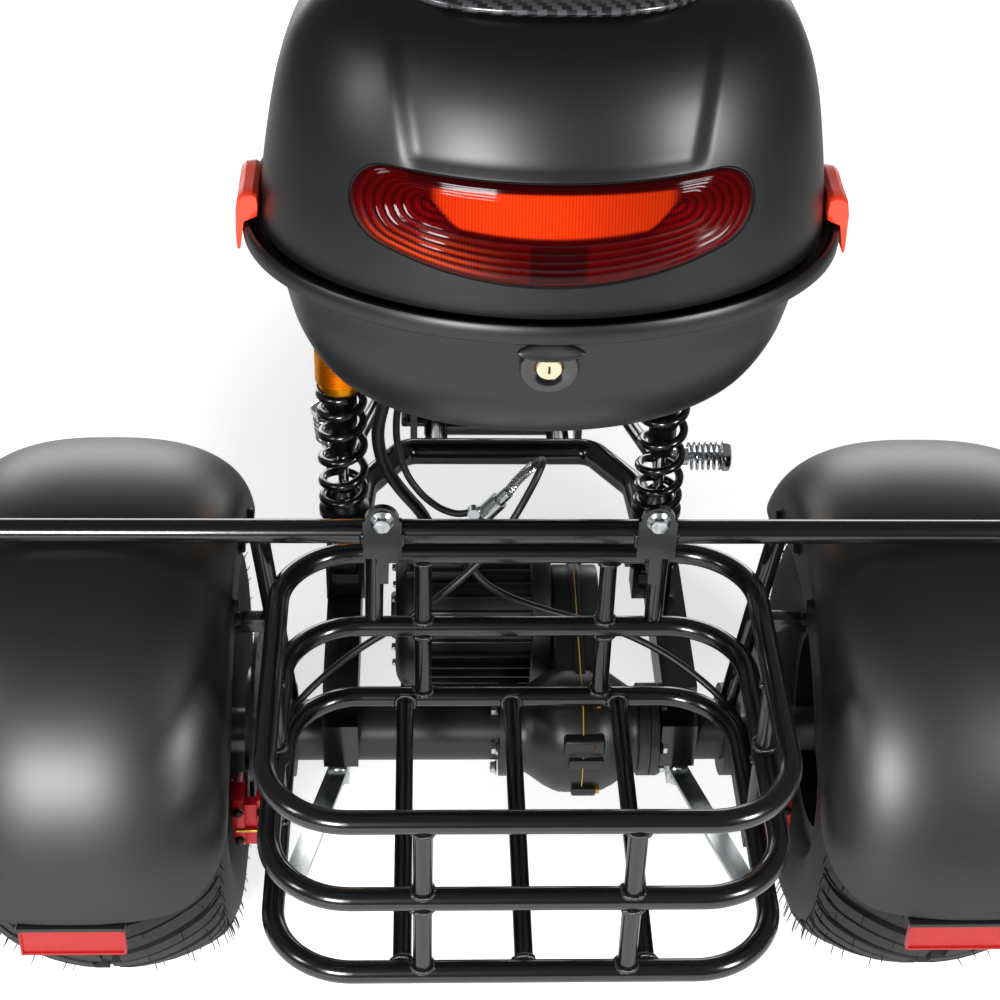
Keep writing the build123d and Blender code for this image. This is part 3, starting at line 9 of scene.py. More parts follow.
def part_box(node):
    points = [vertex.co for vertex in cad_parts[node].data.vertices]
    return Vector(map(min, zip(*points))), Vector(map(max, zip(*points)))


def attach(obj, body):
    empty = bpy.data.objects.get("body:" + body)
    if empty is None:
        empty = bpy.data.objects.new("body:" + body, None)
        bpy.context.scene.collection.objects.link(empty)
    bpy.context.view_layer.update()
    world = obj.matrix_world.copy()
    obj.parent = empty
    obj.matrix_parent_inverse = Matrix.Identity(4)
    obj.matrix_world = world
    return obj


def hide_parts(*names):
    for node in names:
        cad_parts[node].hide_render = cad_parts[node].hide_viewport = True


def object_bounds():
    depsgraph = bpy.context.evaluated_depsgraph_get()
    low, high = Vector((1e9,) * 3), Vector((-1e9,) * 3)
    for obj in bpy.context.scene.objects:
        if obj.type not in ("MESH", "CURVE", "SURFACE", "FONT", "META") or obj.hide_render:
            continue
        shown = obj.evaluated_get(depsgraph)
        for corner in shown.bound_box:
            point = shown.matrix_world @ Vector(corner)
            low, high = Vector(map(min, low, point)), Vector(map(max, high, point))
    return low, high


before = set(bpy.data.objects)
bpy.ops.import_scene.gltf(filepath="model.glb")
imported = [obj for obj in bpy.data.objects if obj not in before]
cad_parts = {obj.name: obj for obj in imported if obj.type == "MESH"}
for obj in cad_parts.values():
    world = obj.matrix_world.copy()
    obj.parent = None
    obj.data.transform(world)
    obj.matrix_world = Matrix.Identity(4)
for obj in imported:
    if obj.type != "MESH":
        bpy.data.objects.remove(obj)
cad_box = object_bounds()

scene = bpy.context.scene


def linked(name, data):
    """A new object in the scene."""
    made = bpy.data.objects.new(name, data)
    scene.collection.objects.link(made)
    return made


# ---- Camera ----
# A 75 mm lens stands behind and above the scooter and looks down on its tail box,
# basket and rear fenders, turned slightly to the right and a little out of level.
eye = Vector((-0.086, cad_box[0][1] - 1.136, 1.663))
yaw, pitch, roll = radians(2.68), radians(37.2), radians(1.74)
forward = Vector((sin(yaw) * cos(pitch), cos(yaw) * cos(pitch), -sin(pitch)))
level = Vector((cos(yaw), -sin(yaw), 0.0))
upright = level.cross(forward)
right = level * cos(roll) + upright * sin(roll)
upward = upright * cos(roll) - level * sin(roll)
lens = bpy.data.cameras.new("camera")
lens.sensor_width = 36.0
lens.lens = 75.06
camera = linked("camera", lens)
camera.matrix_world = Matrix.Translation(eye) @ Matrix((right, upward, -forward)).transposed().to_4x4()
scene.camera = camera
scene.view_settings.view_transform = "Standard"


# ---- Studio ----
# A seamless white floor under the scooter, lit by a soft key lamp and two side lamps behind
# it and by a wide lamp in front of it, as for a catalogue picture of a black vehicle.
def srgb(hex_code):
    """Linear colour of an sRGB hex value."""
    channels = [int(hex_code[i : i + 2], 16) / 255 for i in (1, 3, 5)]
    return (*[c / 12.92 if c <= 0.04045 else ((c + 0.055) / 1.055) ** 2.4 for c in channels], 1.0)


def plug(node, name, value):
    """Set an input, or link it to a socket or to a node's first output."""
    if isinstance(value, bpy.types.Node):
        value = value.outputs[0]
    if isinstance(value, bpy.types.NodeSocket):
        node.id_data.links.new(value, node.inputs[name])
    else:
        node.inputs[name].default_value = value


def add(tree, kind, inputs=None, **settings):
    """A new node with its settings and inputs."""
    node = tree.nodes.new(kind)
    for name, value in settings.items():
        setattr(node, name, value)
    for name, value in (inputs or {}).items():
        plug(node, name, value)
    return node


def calculate(tree, operation, a, b=0.0):
    """A maths node."""
    return add(tree, "ShaderNodeMath", {0: a, 1: b}, operation=operation)


white = srgb("#FFFFFF")
world = bpy.data.worlds.new("studio_air")
scene.world = world
world.use_nodes = True
air = world.node_tree
air.nodes.clear()
rays = add(air, "ShaderNodeLightPath").outputs
seen = calculate(air, "MAXIMUM", rays["Is Camera Ray"], rays["Is Transmission Ray"])
fill, bright = (add(air, "ShaderNodeBackground", {"Color": white, "Strength": power})
                for power in (0.16, 1.0))
either = add(air, "ShaderNodeMixShader", {0: seen, 1: fill, 2: bright})
add(air, "ShaderNodeOutputWorld", {"Surface": either})


def mesh_of(name, verts, faces, edges=()):
    """A mesh from points and faces, or points and edges."""
    mesh = bpy.data.meshes.new(name)
    mesh.from_pydata([tuple(v) for v in verts], edges, faces)
    return mesh


corners = [(-30, -30, 0), (30, -30, 0), (30, 30, 0), (-30, 30, 0)]
floor = linked("studio_floor", mesh_of("studio_floor", corners, [(0, 1, 2, 3)]))
paper = bpy.data.materials.new("matt_white_background_paper")
paper.use_nodes = True
tree = paper.node_tree
tree.nodes.clear()
matt = add(tree, "ShaderNodeBsdfDiffuse", {"Color": srgb("#F4F4F4")})
glow = add(tree, "ShaderNodeEmission", {"Color": white, "Strength": 0.55})
both = add(tree, "ShaderNodeAddShader", {0: matt, 1: glow})
camera_ray = add(tree, "ShaderNodeLightPath").outputs["Is Camera Ray"]
shown = add(tree, "ShaderNodeMixShader", {0: camera_ray, 1: matt, 2: both})
add(tree, "ShaderNodeOutputMaterial", {"Surface": shown})
floor.data.materials.append(paper)

for name, place, aim, width, height, watts in (
    ("key_softbox", (-0.86, -2.9, 1.35), (-0.35, -0.8, 0.45), 0.66, 0.62, 76.0),
    ("right_softbox", (1.75, -2.35, 1.45), (0.0, -0.8, 0.5), 0.5, 0.8, 52.0),
    ("left_softbox", (-2.5, -2.0, 1.9), (0.0, -0.6, 0.4), 0.5, 0.9, 22.0),
    ("back_softbox", (0.0, 3.3, 1.0), (0.0, 0.0, 0.6), 5.0, 1.6, 105.0),
):
    lamp = bpy.data.lights.new(name, "AREA")
    lamp.shape = "RECTANGLE"
    lamp.size, lamp.size_y, lamp.energy = width, height, watts
    softbox = linked(name, lamp)
    softbox.location = place
    softbox.rotation_euler = (Vector(aim) - Vector(place)).to_track_quat("-Z", "Y").to_euler()


# ---- Frame and tubes ----
# Welded steel tube: main frame, swing arm, box rack, peg arms, the cross tube over the
# fenders and the basket. Powder coated gloss black, with the coat's slight orange peel.
def surface(name, colour, **sockets):
    """A material and its Principled shader; keyword names are its sockets, with _ for a space."""
    made = bpy.data.materials.new(name)
    made.use_nodes = True
    shader = made.node_tree.nodes["Principled BSDF"]
    plug(shader, "Base Color", srgb(colour))
    for key, value in sockets.items():
        plug(shader, key.replace("_", " "), value)
    return made, shader


def object_point(tree):
    """The shaded point in the object's own coordinates."""
    return add(tree, "ShaderNodeTexCoord").outputs["Object"]


def bump(shader, height, depth, strength=1.0, **inputs):
    """Bump a shader's surface, its depth in metres."""
    bumped = add(shader.id_data, "ShaderNodeBump", {"Height": height, "Distance": depth, "Strength": strength,
                                                    **inputs})
    plug(shader, "Normal", bumped)
    return bumped


def noise(tree, size_mm, detail=2.0):
    """Noise of a size in millimetres."""
    return add(tree, "ShaderNodeTexNoise", {"Vector": object_point(tree), "Scale": 1000.0 / size_mm,
                                            "Detail": detail}).outputs["Fac"]


def coat(name, colour, size_mm, depth_mm, detail=2.0, tones=(), **sockets):
    """A material with a fine grain, its size and depth in millimetres, which may blend two tones."""
    made, shader = surface(name, colour, **sockets)
    grain = noise(made.node_tree, size_mm, detail)
    bump(shader, grain, depth_mm / 1000.0)
    if tones:
        blend = add(made.node_tree, "ShaderNodeValToRGB", {"Fac": grain})
        for stop, tone in zip(blend.color_ramp.elements, tones):
            stop.color = srgb(tone)
        plug(shader, "Base Color", blend)
    return made


def dress(material, *names):
    """Give CAD nodes a material."""
    for name in names:
        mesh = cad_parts[name].data
        mesh.materials.clear()
        mesh.materials.append(material)


powder_coat = coat("powder_coated_steel_gloss_black", "#08080A", 5.0, 0.02, Roughness=0.2,
                   Specular_IOR_Level=0.5, Coat_Weight=0.35, Coat_Roughness=0.06)
dress(powder_coat, "main_frame", "swing_arm", "box_rack", "peg_brackets", "fender_bar", "basket_top",
      "basket_bottom", "handlebar", "foot_deck", "headlight")


# ---- Weld beads of the basket and lugs ----
# MIG weld fillets where each basket post, floor bar and lug meets a tube. A bead is a
# row of small overlapping ripples laid round the joint, under the same powder coat.
def middle_of(node, axis):
    """The middle of a CAD node along an axis, in metres."""
    low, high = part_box(node)
    return (low[axis] + high[axis]) / 2


axle_y = middle_of("rear_left_hub", 1)
BACK, AHEAD, UP, DOWN, LEFT, RIGHT = (0, -1, 0), (0, 1, 0), (0, 0, 1), (0, 0, -1), (-1, 0, 0), (1, 0, 0)
SIDES = (-1, 1)
wheel_z = 229.0


def at(x, y, z):
    """The place, in metres, of a point given in millimetres from the ground under the rear axle."""
    return Vector((x / 1000.0, y / 1000.0 + axle_y, z / 1000.0))


def polar(radius, angle):
    """Two coordinates of a point at a radius and an angle."""
    return radius * cos(angle), radius * sin(angle)


def outward(mesh, merge=0.0):
    """Merge a mesh's points that are closer than a distance, and face it outwards."""
    form = bmesh.new()
    form.from_mesh(mesh)
    if merge:
        bmesh.ops.remove_doubles(form, verts=form.verts, dist=merge)
    bmesh.ops.recalc_face_normals(form, faces=form.faces)
    form.to_mesh(mesh)
    form.free()
    return mesh


def finished(name, mesh, material, slot, replaced=None, body="chassis", sharp=35.0):
    """A finished piece from a mesh, riding on its body."""
    mesh.materials.clear()
    mesh.materials.append(material)
    mesh.shade_smooth()
    mesh.set_sharp_from_angle(angle=radians(sharp))
    made = linked(name, mesh)
    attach(made, body)
    if replaced:
        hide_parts(replaced)
    return made


def joined(parts):
    """One list of points and one of faces from several such pairs."""
    verts, faces = [], []
    for more, loops in parts:
        start = len(verts)
        verts.extend(more)
        faces.extend([tuple(i + start for i in loop) for loop in loops])
    return verts, faces


def shaped(name, parts, *finish, **options):
    """A finished piece from pairs of points and faces; the rest goes to finished."""
    return finished(name, outward(mesh_of(name, *joined(parts)), 2e-6), *finish, **options)


def new_tree(name, sizes):
    """A Geometry Nodes tree with a mesh in, a mesh out and an input for each size, and its given sockets."""
    tree = bpy.data.node_groups.new(name, "GeometryNodeTree")
    tree.interface.new_socket("Geometry", in_out="INPUT", socket_type="NodeSocketGeometry")
    for label, (kind, value) in {**sizes, "Material": ("Material", None)}.items():
        socket = tree.interface.new_socket(label, in_out="INPUT", socket_type="NodeSocket" + kind)
        if value is not None:
            socket.default_value = value
    tree.interface.new_socket("Geometry", in_out="OUTPUT", socket_type="NodeSocketGeometry")
    return tree, tree.nodes.new("NodeGroupInput").outputs


def close_tree(tree, given, grown):
    """End a tree: real geometry, with the material that the tree is given."""
    real = add(tree, "GeometryNodeRealizeInstances", {0: grown})
    coated = add(tree, "GeometryNodeSetMaterial", {"Geometry": real, "Material": given["Material"]})
    add(tree, "NodeGroupOutput", {0: coated})


def grow(name, form, tree, material, slot, body="chassis", edges=(), facing=(), sharp=35.0, **sizes):
    """A finished piece that a Geometry Nodes tree grows from points, edges or a small form."""
    seed = mesh_of(name + "_seed", *form, edges)
    if facing:
        layer = seed.attributes.new("facing", "FLOAT_VECTOR", "POINT")
        for value, direction in zip(layer.data, facing):
            value.vector = direction
    grower = linked(name + "_seed", seed)
    modifier = grower.modifiers.new("grow", "NODES")
    modifier.node_group = tree
    sizes["Material"] = material
    for item in tree.interface.items_tree:
        key = item.name.replace(" ", "_")
        if item.in_out == "INPUT" and key in sizes:
            modifier[item.identifier] = sizes[key]
    mesh = bpy.data.meshes.new_from_object(grower.evaluated_get(bpy.context.evaluated_depsgraph_get()))
    mesh.name = name
    grower.modifiers.clear()
    bpy.data.objects.remove(grower)
    return finished(name, mesh, material, slot, body=body, sharp=sharp)


bead_tree, given = new_tree("weld_bead", {"Ripple spacing": ("Float", 0.0021),
                                          "Ripple radius": ("Float", 0.0026),
                                          "Unevenness": ("Float", 0.25), "Seed": ("Int", 4)})
line = add(bead_tree, "GeometryNodeMeshToCurve", {0: given["Geometry"]})
steps = add(bead_tree, "GeometryNodeResampleCurve", {"Curve": line, "Length": given["Ripple spacing"]},
            mode="LENGTH")
drop = add(bead_tree, "GeometryNodeMeshIcoSphere", {"Radius": given["Ripple radius"], "Subdivisions": 2})
least, most = (calculate(bead_tree, way, 1.0, given["Unevenness"]) for way in ("SUBTRACT", "ADD"))
size = add(bead_tree, "FunctionNodeRandomValue", {2: least, 3: most, "Seed": given["Seed"]},
           data_type="FLOAT")
beads = add(bead_tree, "GeometryNodeInstanceOnPoints",
            {"Points": steps, "Instance": drop, "Scale": size.outputs[1]})
close_tree(bead_tree, given, beads)


def square_to(along):
    """Two directions square to one and to each other."""
    side = along.orthogonal().normalized()
    return side, along.cross(side)


def ring_round(centre, along, radius):
    """Points of a circle, in metres, round a direction."""
    side, other = square_to(Vector(along).normalized())
    return [centre + (side * cos(radians(18.0 * i)) + other * sin(radians(18.0 * i))) * radius
            for i in range(21)]


tube_skin, post_ring = 9.75 - 0.8, 0.0089
low_ring, mid_ring, high_ring = 299.0, 388.0, 476.0
rear_tube, front_tube = -365.0, -28.0
posts = [(x, y) for y in (rear_tube, front_tube) for x in (-85.0, 85.0)]
posts += [(x, (rear_tube + front_tube) / 2) for x in (-213.0, 213.0)]
seams = [ring_round(at(x, y, ring + way * tube_skin), UP, post_ring) for x, y in posts
         for ring, way in ((high_ring, -1), (mid_ring, 1), (mid_ring, -1), (low_ring, 1))]
seams += [ring_round(at(x, y + way * tube_skin, low_ring), AHEAD, post_ring) for x in (-102.0, 0.0, 102.0)
          for y, way in ((rear_tube, 1), (front_tube, -1))]
lug_foot = [(-17.5, -69.5, 528), (-17.5, -66, 519), (-16, -64, 513), (0, -63, 512), (16, -64, 513),
            (17.5, -66, 519), (17.5, -69.5, 528)]
for side in SIDES:
    seams.append([at(side * 121.0 + x, y, z) for x, y, z in lug_foot])
    seams.append(ring_round(at(side * 128, -52, 517), (side * -0.03, 0.2, -1), 0.0095))
verts, edges = [], []
for seam in seams:
    edges += [(len(verts) + i, len(verts) + i + 1) for i in range(len(seam) - 1)]
    verts += seam
grow("basket_weld_beads", (verts, []), bead_tree, powder_coat, "frame_black", edges=edges)


# ---- Bolts ----
# Zinc plated hexagon flange bolts: a forged head with a wide flange under it, blue-white
# passivated, which shows as a pale metal with faint cloudy patches.
bolt_tree, given = new_tree("flange_bolts", {"Flange radius": ("Float", 0.0095),
                                             "Flange height": ("Float", 0.002),
                                             "Head radius": ("Float", 0.0072),
                                             "Head height": ("Float", 0.0075)})


def cone(corners, low, high, tall):
    """A cone with its point cut off."""
    return add(bolt_tree, "GeometryNodeMeshCone", {"Vertices": corners, "Radius Bottom": low,
                                                   "Radius Top": high, "Depth": tall})


head_radius = given["Head radius"]
brow, crown = (calculate(bolt_tree, "MULTIPLY", head_radius, share) for share in (0.93, 0.72))
whole = bolt_tree.nodes.new("GeometryNodeJoinGeometry")
flange = cone(24, given["Flange radius"], head_radius, given["Flange height"])
head = cone(6, head_radius, head_radius, given["Head height"])
cap = cone(24, brow, crown, 0.0006)
lift = add(bolt_tree, "ShaderNodeCombineXYZ", {"Z": given["Head height"]})
raised = add(bolt_tree, "GeometryNodeTransform", {"Geometry": cap, "Translation": lift})
for source in (flange, head, raised):
    plug(whole, 0, source)
facing = add(bolt_tree, "GeometryNodeInputNamedAttribute", {"Name": "facing"}, data_type="FLOAT_VECTOR")
turn = add(bolt_tree, "FunctionNodeAlignRotationToVector", {"Vector": facing}, axis="Z")
seats = add(bolt_tree, "GeometryNodeInstanceOnPoints", {"Points": given["Geometry"], "Instance": whole,
                                                        "Rotation": turn})
close_tree(bolt_tree, given, seats)
zinc = coat("zinc_plated_steel_blue_white", "#C3C8CC", 6.0, 0.02, tones=("#AEB6BE", "#D4D6D2"), Metallic=1.0,
            Roughness=0.24)
passivated = coat("yellow_passivated_steel", "#B98F3A", 4.0, 0.02, Metallic=1.0, Roughness=0.3)
blackened = coat("blackened_steel", "#1B1B1D", 1.5, 0.02, Metallic=0.7, Roughness=0.35)


def bolts(name, seats_mm, head, height, flange, flange_height=2.2, body="chassis", material=zinc,
          slot="grey_steel"):
    """Bolt heads, their sizes in millimetres, on seats given as (x, y, z, facing)."""
    grow(name, ([at(x, y, z) for x, y, z, _ in seats_mm], []), bolt_tree, material, slot, body,
         facing=[way for *_, way in seats_mm], Flange_radius=flange / 1000,
         Flange_height=flange_height / 1000, Head_radius=head / 1000, Head_height=height / 1000)


bolts("lug_bolts", [(side * 121.0, -74.0, 547.0, BACK) for side in SIDES], 7.5, 7.5, 10.5, 2.6)
flange_ring = [polar(37.5, radians(165 - 60 * k)) for k in range(6)]
flange_seats = [(x, y, wheel_z + z, way) for y, z in flange_ring
                for x, way in ((-12.0, LEFT), (148.0, RIGHT))]
bolts("axle_flange_bolts", flange_seats, 6.0, 6.0, 8.0)
case_seats = [(81.0, 63.0 * cos(radians(a)), wheel_z + 60.0 * sin(radians(a)), RIGHT)
              for a in (68, 112, 150, 205)]
case_seats += [(87.0, 0.0, 165.0, RIGHT), (87.0, -12.0, 176.0, RIGHT)]
bolts("gear_case_bolts", case_seats, 5.5, 6.0, 7.5, material=passivated, slot="gold_anodised")
bolts("stay_bolts", [(side * 168.0, y, z, way) for y, z, way in ((-20.0, 183.0, DOWN), (-31.0, 196.0, BACK))
                     for side in SIDES], 7.0, 6.0, 9.5)


# ---- Tail box ----
# A top case of injection moulded black ABS with a fine satin spark texture: a bowl with
# a stout rolled rim, and a domed lid that drops into a groove inside that rim.
abs_satin = coat("moulded_abs_satin_black", "#09090A", 0.9, 0.012, detail=3.0, Roughness=0.37,
                 Specular_IOR_Level=0.42)
box_middle_y = -185.0
lid_wall = 4.0


def plan(half, rear, front, z):
    """Points round the box at one height: half an ellipse behind, two corners and a flat front."""
    corner = half * 0.38
    ahead = front - box_middle_y
    quarter = [pi / 2 * i / 18 for i in range(37)]
    points = [(half * cos(a), box_middle_y + (box_middle_y - rear) * sin(a)) for a in
              (pi * (1 + i / 220) for i in range(221))]
    points += [(half - corner + corner * cos(a), box_middle_y + ahead * sin(a)) for a in quarter[1:19]]
    points += [((half - corner) * (1 - 2 * i / 10), front) for i in range(1, 10)]
    points += [(corner - half + corner * cos(a), box_middle_y + ahead * sin(a)) for a in quarter[18:36]]
    return [(x, y, z) for x, y in points]


def eased(levels, steps):
    """Levels with smooth ones between them."""
    def between(p, q, r, s, t):
        return 0.5 * (2 * q + (r - p) * t + (2 * p - 5 * q + 4 * r - s) * t * t
                      + (3 * q - p - 3 * r + s) * t**3)

    made = []
    ends = levels[:1] + levels + levels[-1:]
    for four in zip(ends, ends[1:], ends[2:], ends[3:]):
        made += [tuple(between(*values, k / steps) for values in zip(*four)) for k in range(steps)]
    return made + [levels[-1]]


def closed_rows(rows, capped=True):
    """Quads between rows of points, each row a closed loop, with the ends drawn to a point."""
    count = len(rows[0])
    verts = [point for row in rows for point in row]
    faces = []
    for start in range(0, count * (len(rows) - 1), count):
        for i in range(count):
            j = (i + 1) % count
            faces.append((start + i, start + j, start + count + j, start + count + i))
    if capped:
        for row in (0, len(rows) - 1):
            middle = len(verts)
            verts.append(tuple(sum(p[k] for p in rows[row]) / count for k in range(3)))
            faces += [(row * count + i, row * count + (i + 1) % count, middle) for i in range(count)]
    return verts, faces


def placed(rows, capped=True):
    """Quads between rows of points in millimetres."""
    verts, faces = closed_rows(rows, capped)
    return [at(*v) for v in verts], faces


def steep(value):
    """Smooth step from 0 to 1."""
    value = min(max(value, 0.0), 1.0)
    return value * value * (3 - 2 * value)


# Half width, rear, front and height of the box's outside, level by level.
LID = [(203, -334.2, -16.2, 920), (202.6, -334, -16.4, 925), (200.5, -332, -17, 950), (196, -327, -20, 982),
       (189, -318, -26, 1020), (180, -306, -35, 1050), (169, -293, -45, 1072), (158, -280, -56, 1086),
       (147, -267, -66, 1094), (134, -252, -80, 1098.5), (116, -234, -98, 1100)]
BOWL = [(104, -230, -70, 775), (128, -252, -48, 775.4), (140, -264, -40, 779), (163, -291, -31, 803),
        (179, -311, -24, 835), (187, -319, -19, 866), (192.5, -327, -16.4, 890), (195.5, -330.5, -15, 904)]
RIM = [(205, -336, -13.5, 904.2), (213, -342.5, -12.3, 904.8), (215.6, -344.6, -12, 906.8),
       (216, -345, -12, 911), (215.6, -344.6, -12.4, 917.5), (214.0, -343.2, -13.2, 919.6),
       (212.0, -341.6, -14.0, 919.8), (210.8, -340.6, -14.6, 918.2), (210.4, -340.2, -14.8, 912.0)]


def lid_depth(x, y, z):
    """How far the middle of the lid sinks between its two soft creases, in millimetres."""
    crease_x = 101 + 13 * (z - 1017) / 75
    return 3.0 * steep((crease_x - abs(x)) / 13.0) * steep((z - 1012) / 12) * steep((-225 - y) / 20)


outer = []
for level in eased(LID, 9):
    sunk = [(point, lid_depth(*point)) for point in plan(*level)]
    outer.append([(x * (1 - deep / 200), y + deep, z - 0.3 * deep) for (x, y, z), deep in sunk])
crown = [plan(70, -205, -128, 1101.2), plan(30, -190, -150, 1101.6)]
inner = [plan(half - lid_wall, rear + lid_wall, front - lid_wall, z - (3.5 if z > 1030 else 0))
         for half, rear, front, z in eased(LID, 2)]
shaped("lid_shell", [placed(inner[::-1] + outer + crown)], abs_satin, "black_plastic", "tail_box_lid",
       "box_lid")
outer = [plan(*level) for level in eased(BOWL, 6) + RIM]
inner = [plan(half - lid_wall, rear + lid_wall, front - lid_wall, max(z, 779))
         for half, rear, front, z in eased(BOWL, 2)[1:]]
floor_top, floor_under = plan(40, -190, -150, 779.2), plan(40, -190, -150, 775)
bowl = [floor_top, *inner, plan(200.5, -331, -22, 911.6), *outer[::-1], floor_under]
shaped("box_bowl", [placed(bowl)], abs_satin, "black_plastic", "tail_box_base")

# A soft rubber cord fills the groove between lid and rim; its dead black, with little gloss, is painted shade
# of the groove.
rubber_seal = coat("epdm_rubber_seal", "#050505", 0.8, 0.05, Roughness=0.85, Specular_IOR_Level=0.2)
# a dark part laid in the groove as painted shade
groove_cord = [plan(208.6, -338.8, -16.2, 912.2), plan(203.6, -334.8, -19.0, 912.2),
        plan(203.6, -334.8, -19.0, 916.0), plan(208.6, -338.8, -16.2, 916.0)]
shaped("rim_seal", [placed(groove_cord + [groove_cord[0]], False)], rubber_seal, "soft_rubber")

# ---- Lid pad ----
# The pad on top of the lid: a moulded cap wrapped in glossy 2x2 twill carbon cloth whose tows are about 3 mm
# wide. The light that the tows catch by turns, lengthwise and crosswise, is painted into their colour as a
# lighter and a darker tone.
twill, shader = surface("twill_carbon_cloth_in_clear_resin", "#101012", Roughness=0.3, Coat_Weight=0.8,
                        Coat_Roughness=0.12)
tree = twill.node_tree
axes = add(tree, "ShaderNodeSeparateXYZ", {0: object_point(tree)}).outputs
tow = 0.0032
column, row = (calculate(tree, "FLOOR", calculate(tree, "DIVIDE", axes[axis], tow)) for axis in ("X", "Y"))
fourth = calculate(tree, "FLOORED_MODULO", calculate(tree, "ADD", column, row), 4.0)
over = calculate(tree, "GREATER_THAN", fourth, 1.5)
# painted sheen: the tows that catch the light get the lighter tone
shade = add(tree, "ShaderNodeMix", {0: over, 6: srgb("#0C0C0E"), 7: srgb("#3A3B3E")}, data_type="RGBA")
plug(shader, "Base Color", shade.outputs[2])
bump(shader, over, 0.0002, 0.6)


def pad_row(half_x, half_y, z):
    """A rounded plan with nearly straight sides."""
    row = []
    for i in range(96):
        c, s = polar(1.0, tau * i / 96)
        row.append((half_x * copysign(abs(c) ** 0.75, c), -168 + half_y * copysign(abs(s) ** 0.8, s),
                    z - 2.4 * (c * c) * half_x / 110))
    return row


pad = [(60, 50, 1099), (108, 86, 1099), (110, 88, 1101.5), (109.4, 87.4, 1104), (107, 85.4, 1105.6),
       (100, 80, 1106.6), (60, 50, 1107.6), (20, 16, 1108)]
shaped("lid_pad", [placed([pad_row(*level) for level in pad])], twill, "black_plastic", body="box_lid",
       sharp=60.0)


# ---- Lamp in the lid ----
# A moulded red acrylic lens, kidney shaped: rows of concentric ribs at both ends, and a bright ribbed
# reflector band behind the middle. A black gasket runs round its edge. Light and shade are painted into the
# lens's colour: on the ribs and flutes, as a highlight on the band, and as an amber glint low on the left.
def lid_y(x, z):
    """Rear face of the lid at a place seen from behind."""
    for (half, rear, _, low), (next_half, next_rear, _, high) in zip(LID, LID[1:]):
        if low <= z <= high:
            t = (z - low) / (high - low)
            half, rear = half + (next_half - half) * t, rear + (next_rear - rear) * t
            return box_middle_y - (box_middle_y - rear) * sqrt(1 - (x / half) ** 2)
    return -335.0


def arc_through(a, b, c, count):
    """Points on the circle through three points, without the last."""
    (ax, ay), (bx, by), (cx, cy) = a, b, c
    d = 2 * (ax * (by - cy) + bx * (cy - ay) + cx * (ay - by))
    ux = ((ax**2 + ay**2) * (by - cy) + (bx**2 + by**2) * (cy - ay) + (cx**2 + cy**2) * (ay - by)) / d
    uy = ((ax**2 + ay**2) * (cx - bx) + (bx**2 + by**2) * (ax - cx) + (cx**2 + cy**2) * (bx - ax)) / d
    radius = hypot(ax - ux, ay - uy)
    first, middle, last = (atan2(p[1] - uy, p[0] - ux) for p in (a, b, c))
    turn = (last - first) % tau
    if (middle - first) % tau > turn:
        turn -= tau
    return [(ux + radius * cos(first + turn * i / count), uy + radius * sin(first + turn * i / count))
            for i in range(count)]


def blend(tone, other, share):
    """A colour moved part of the way to another."""
    return [a + (b - a) * share for a, b in zip(tone, other)]


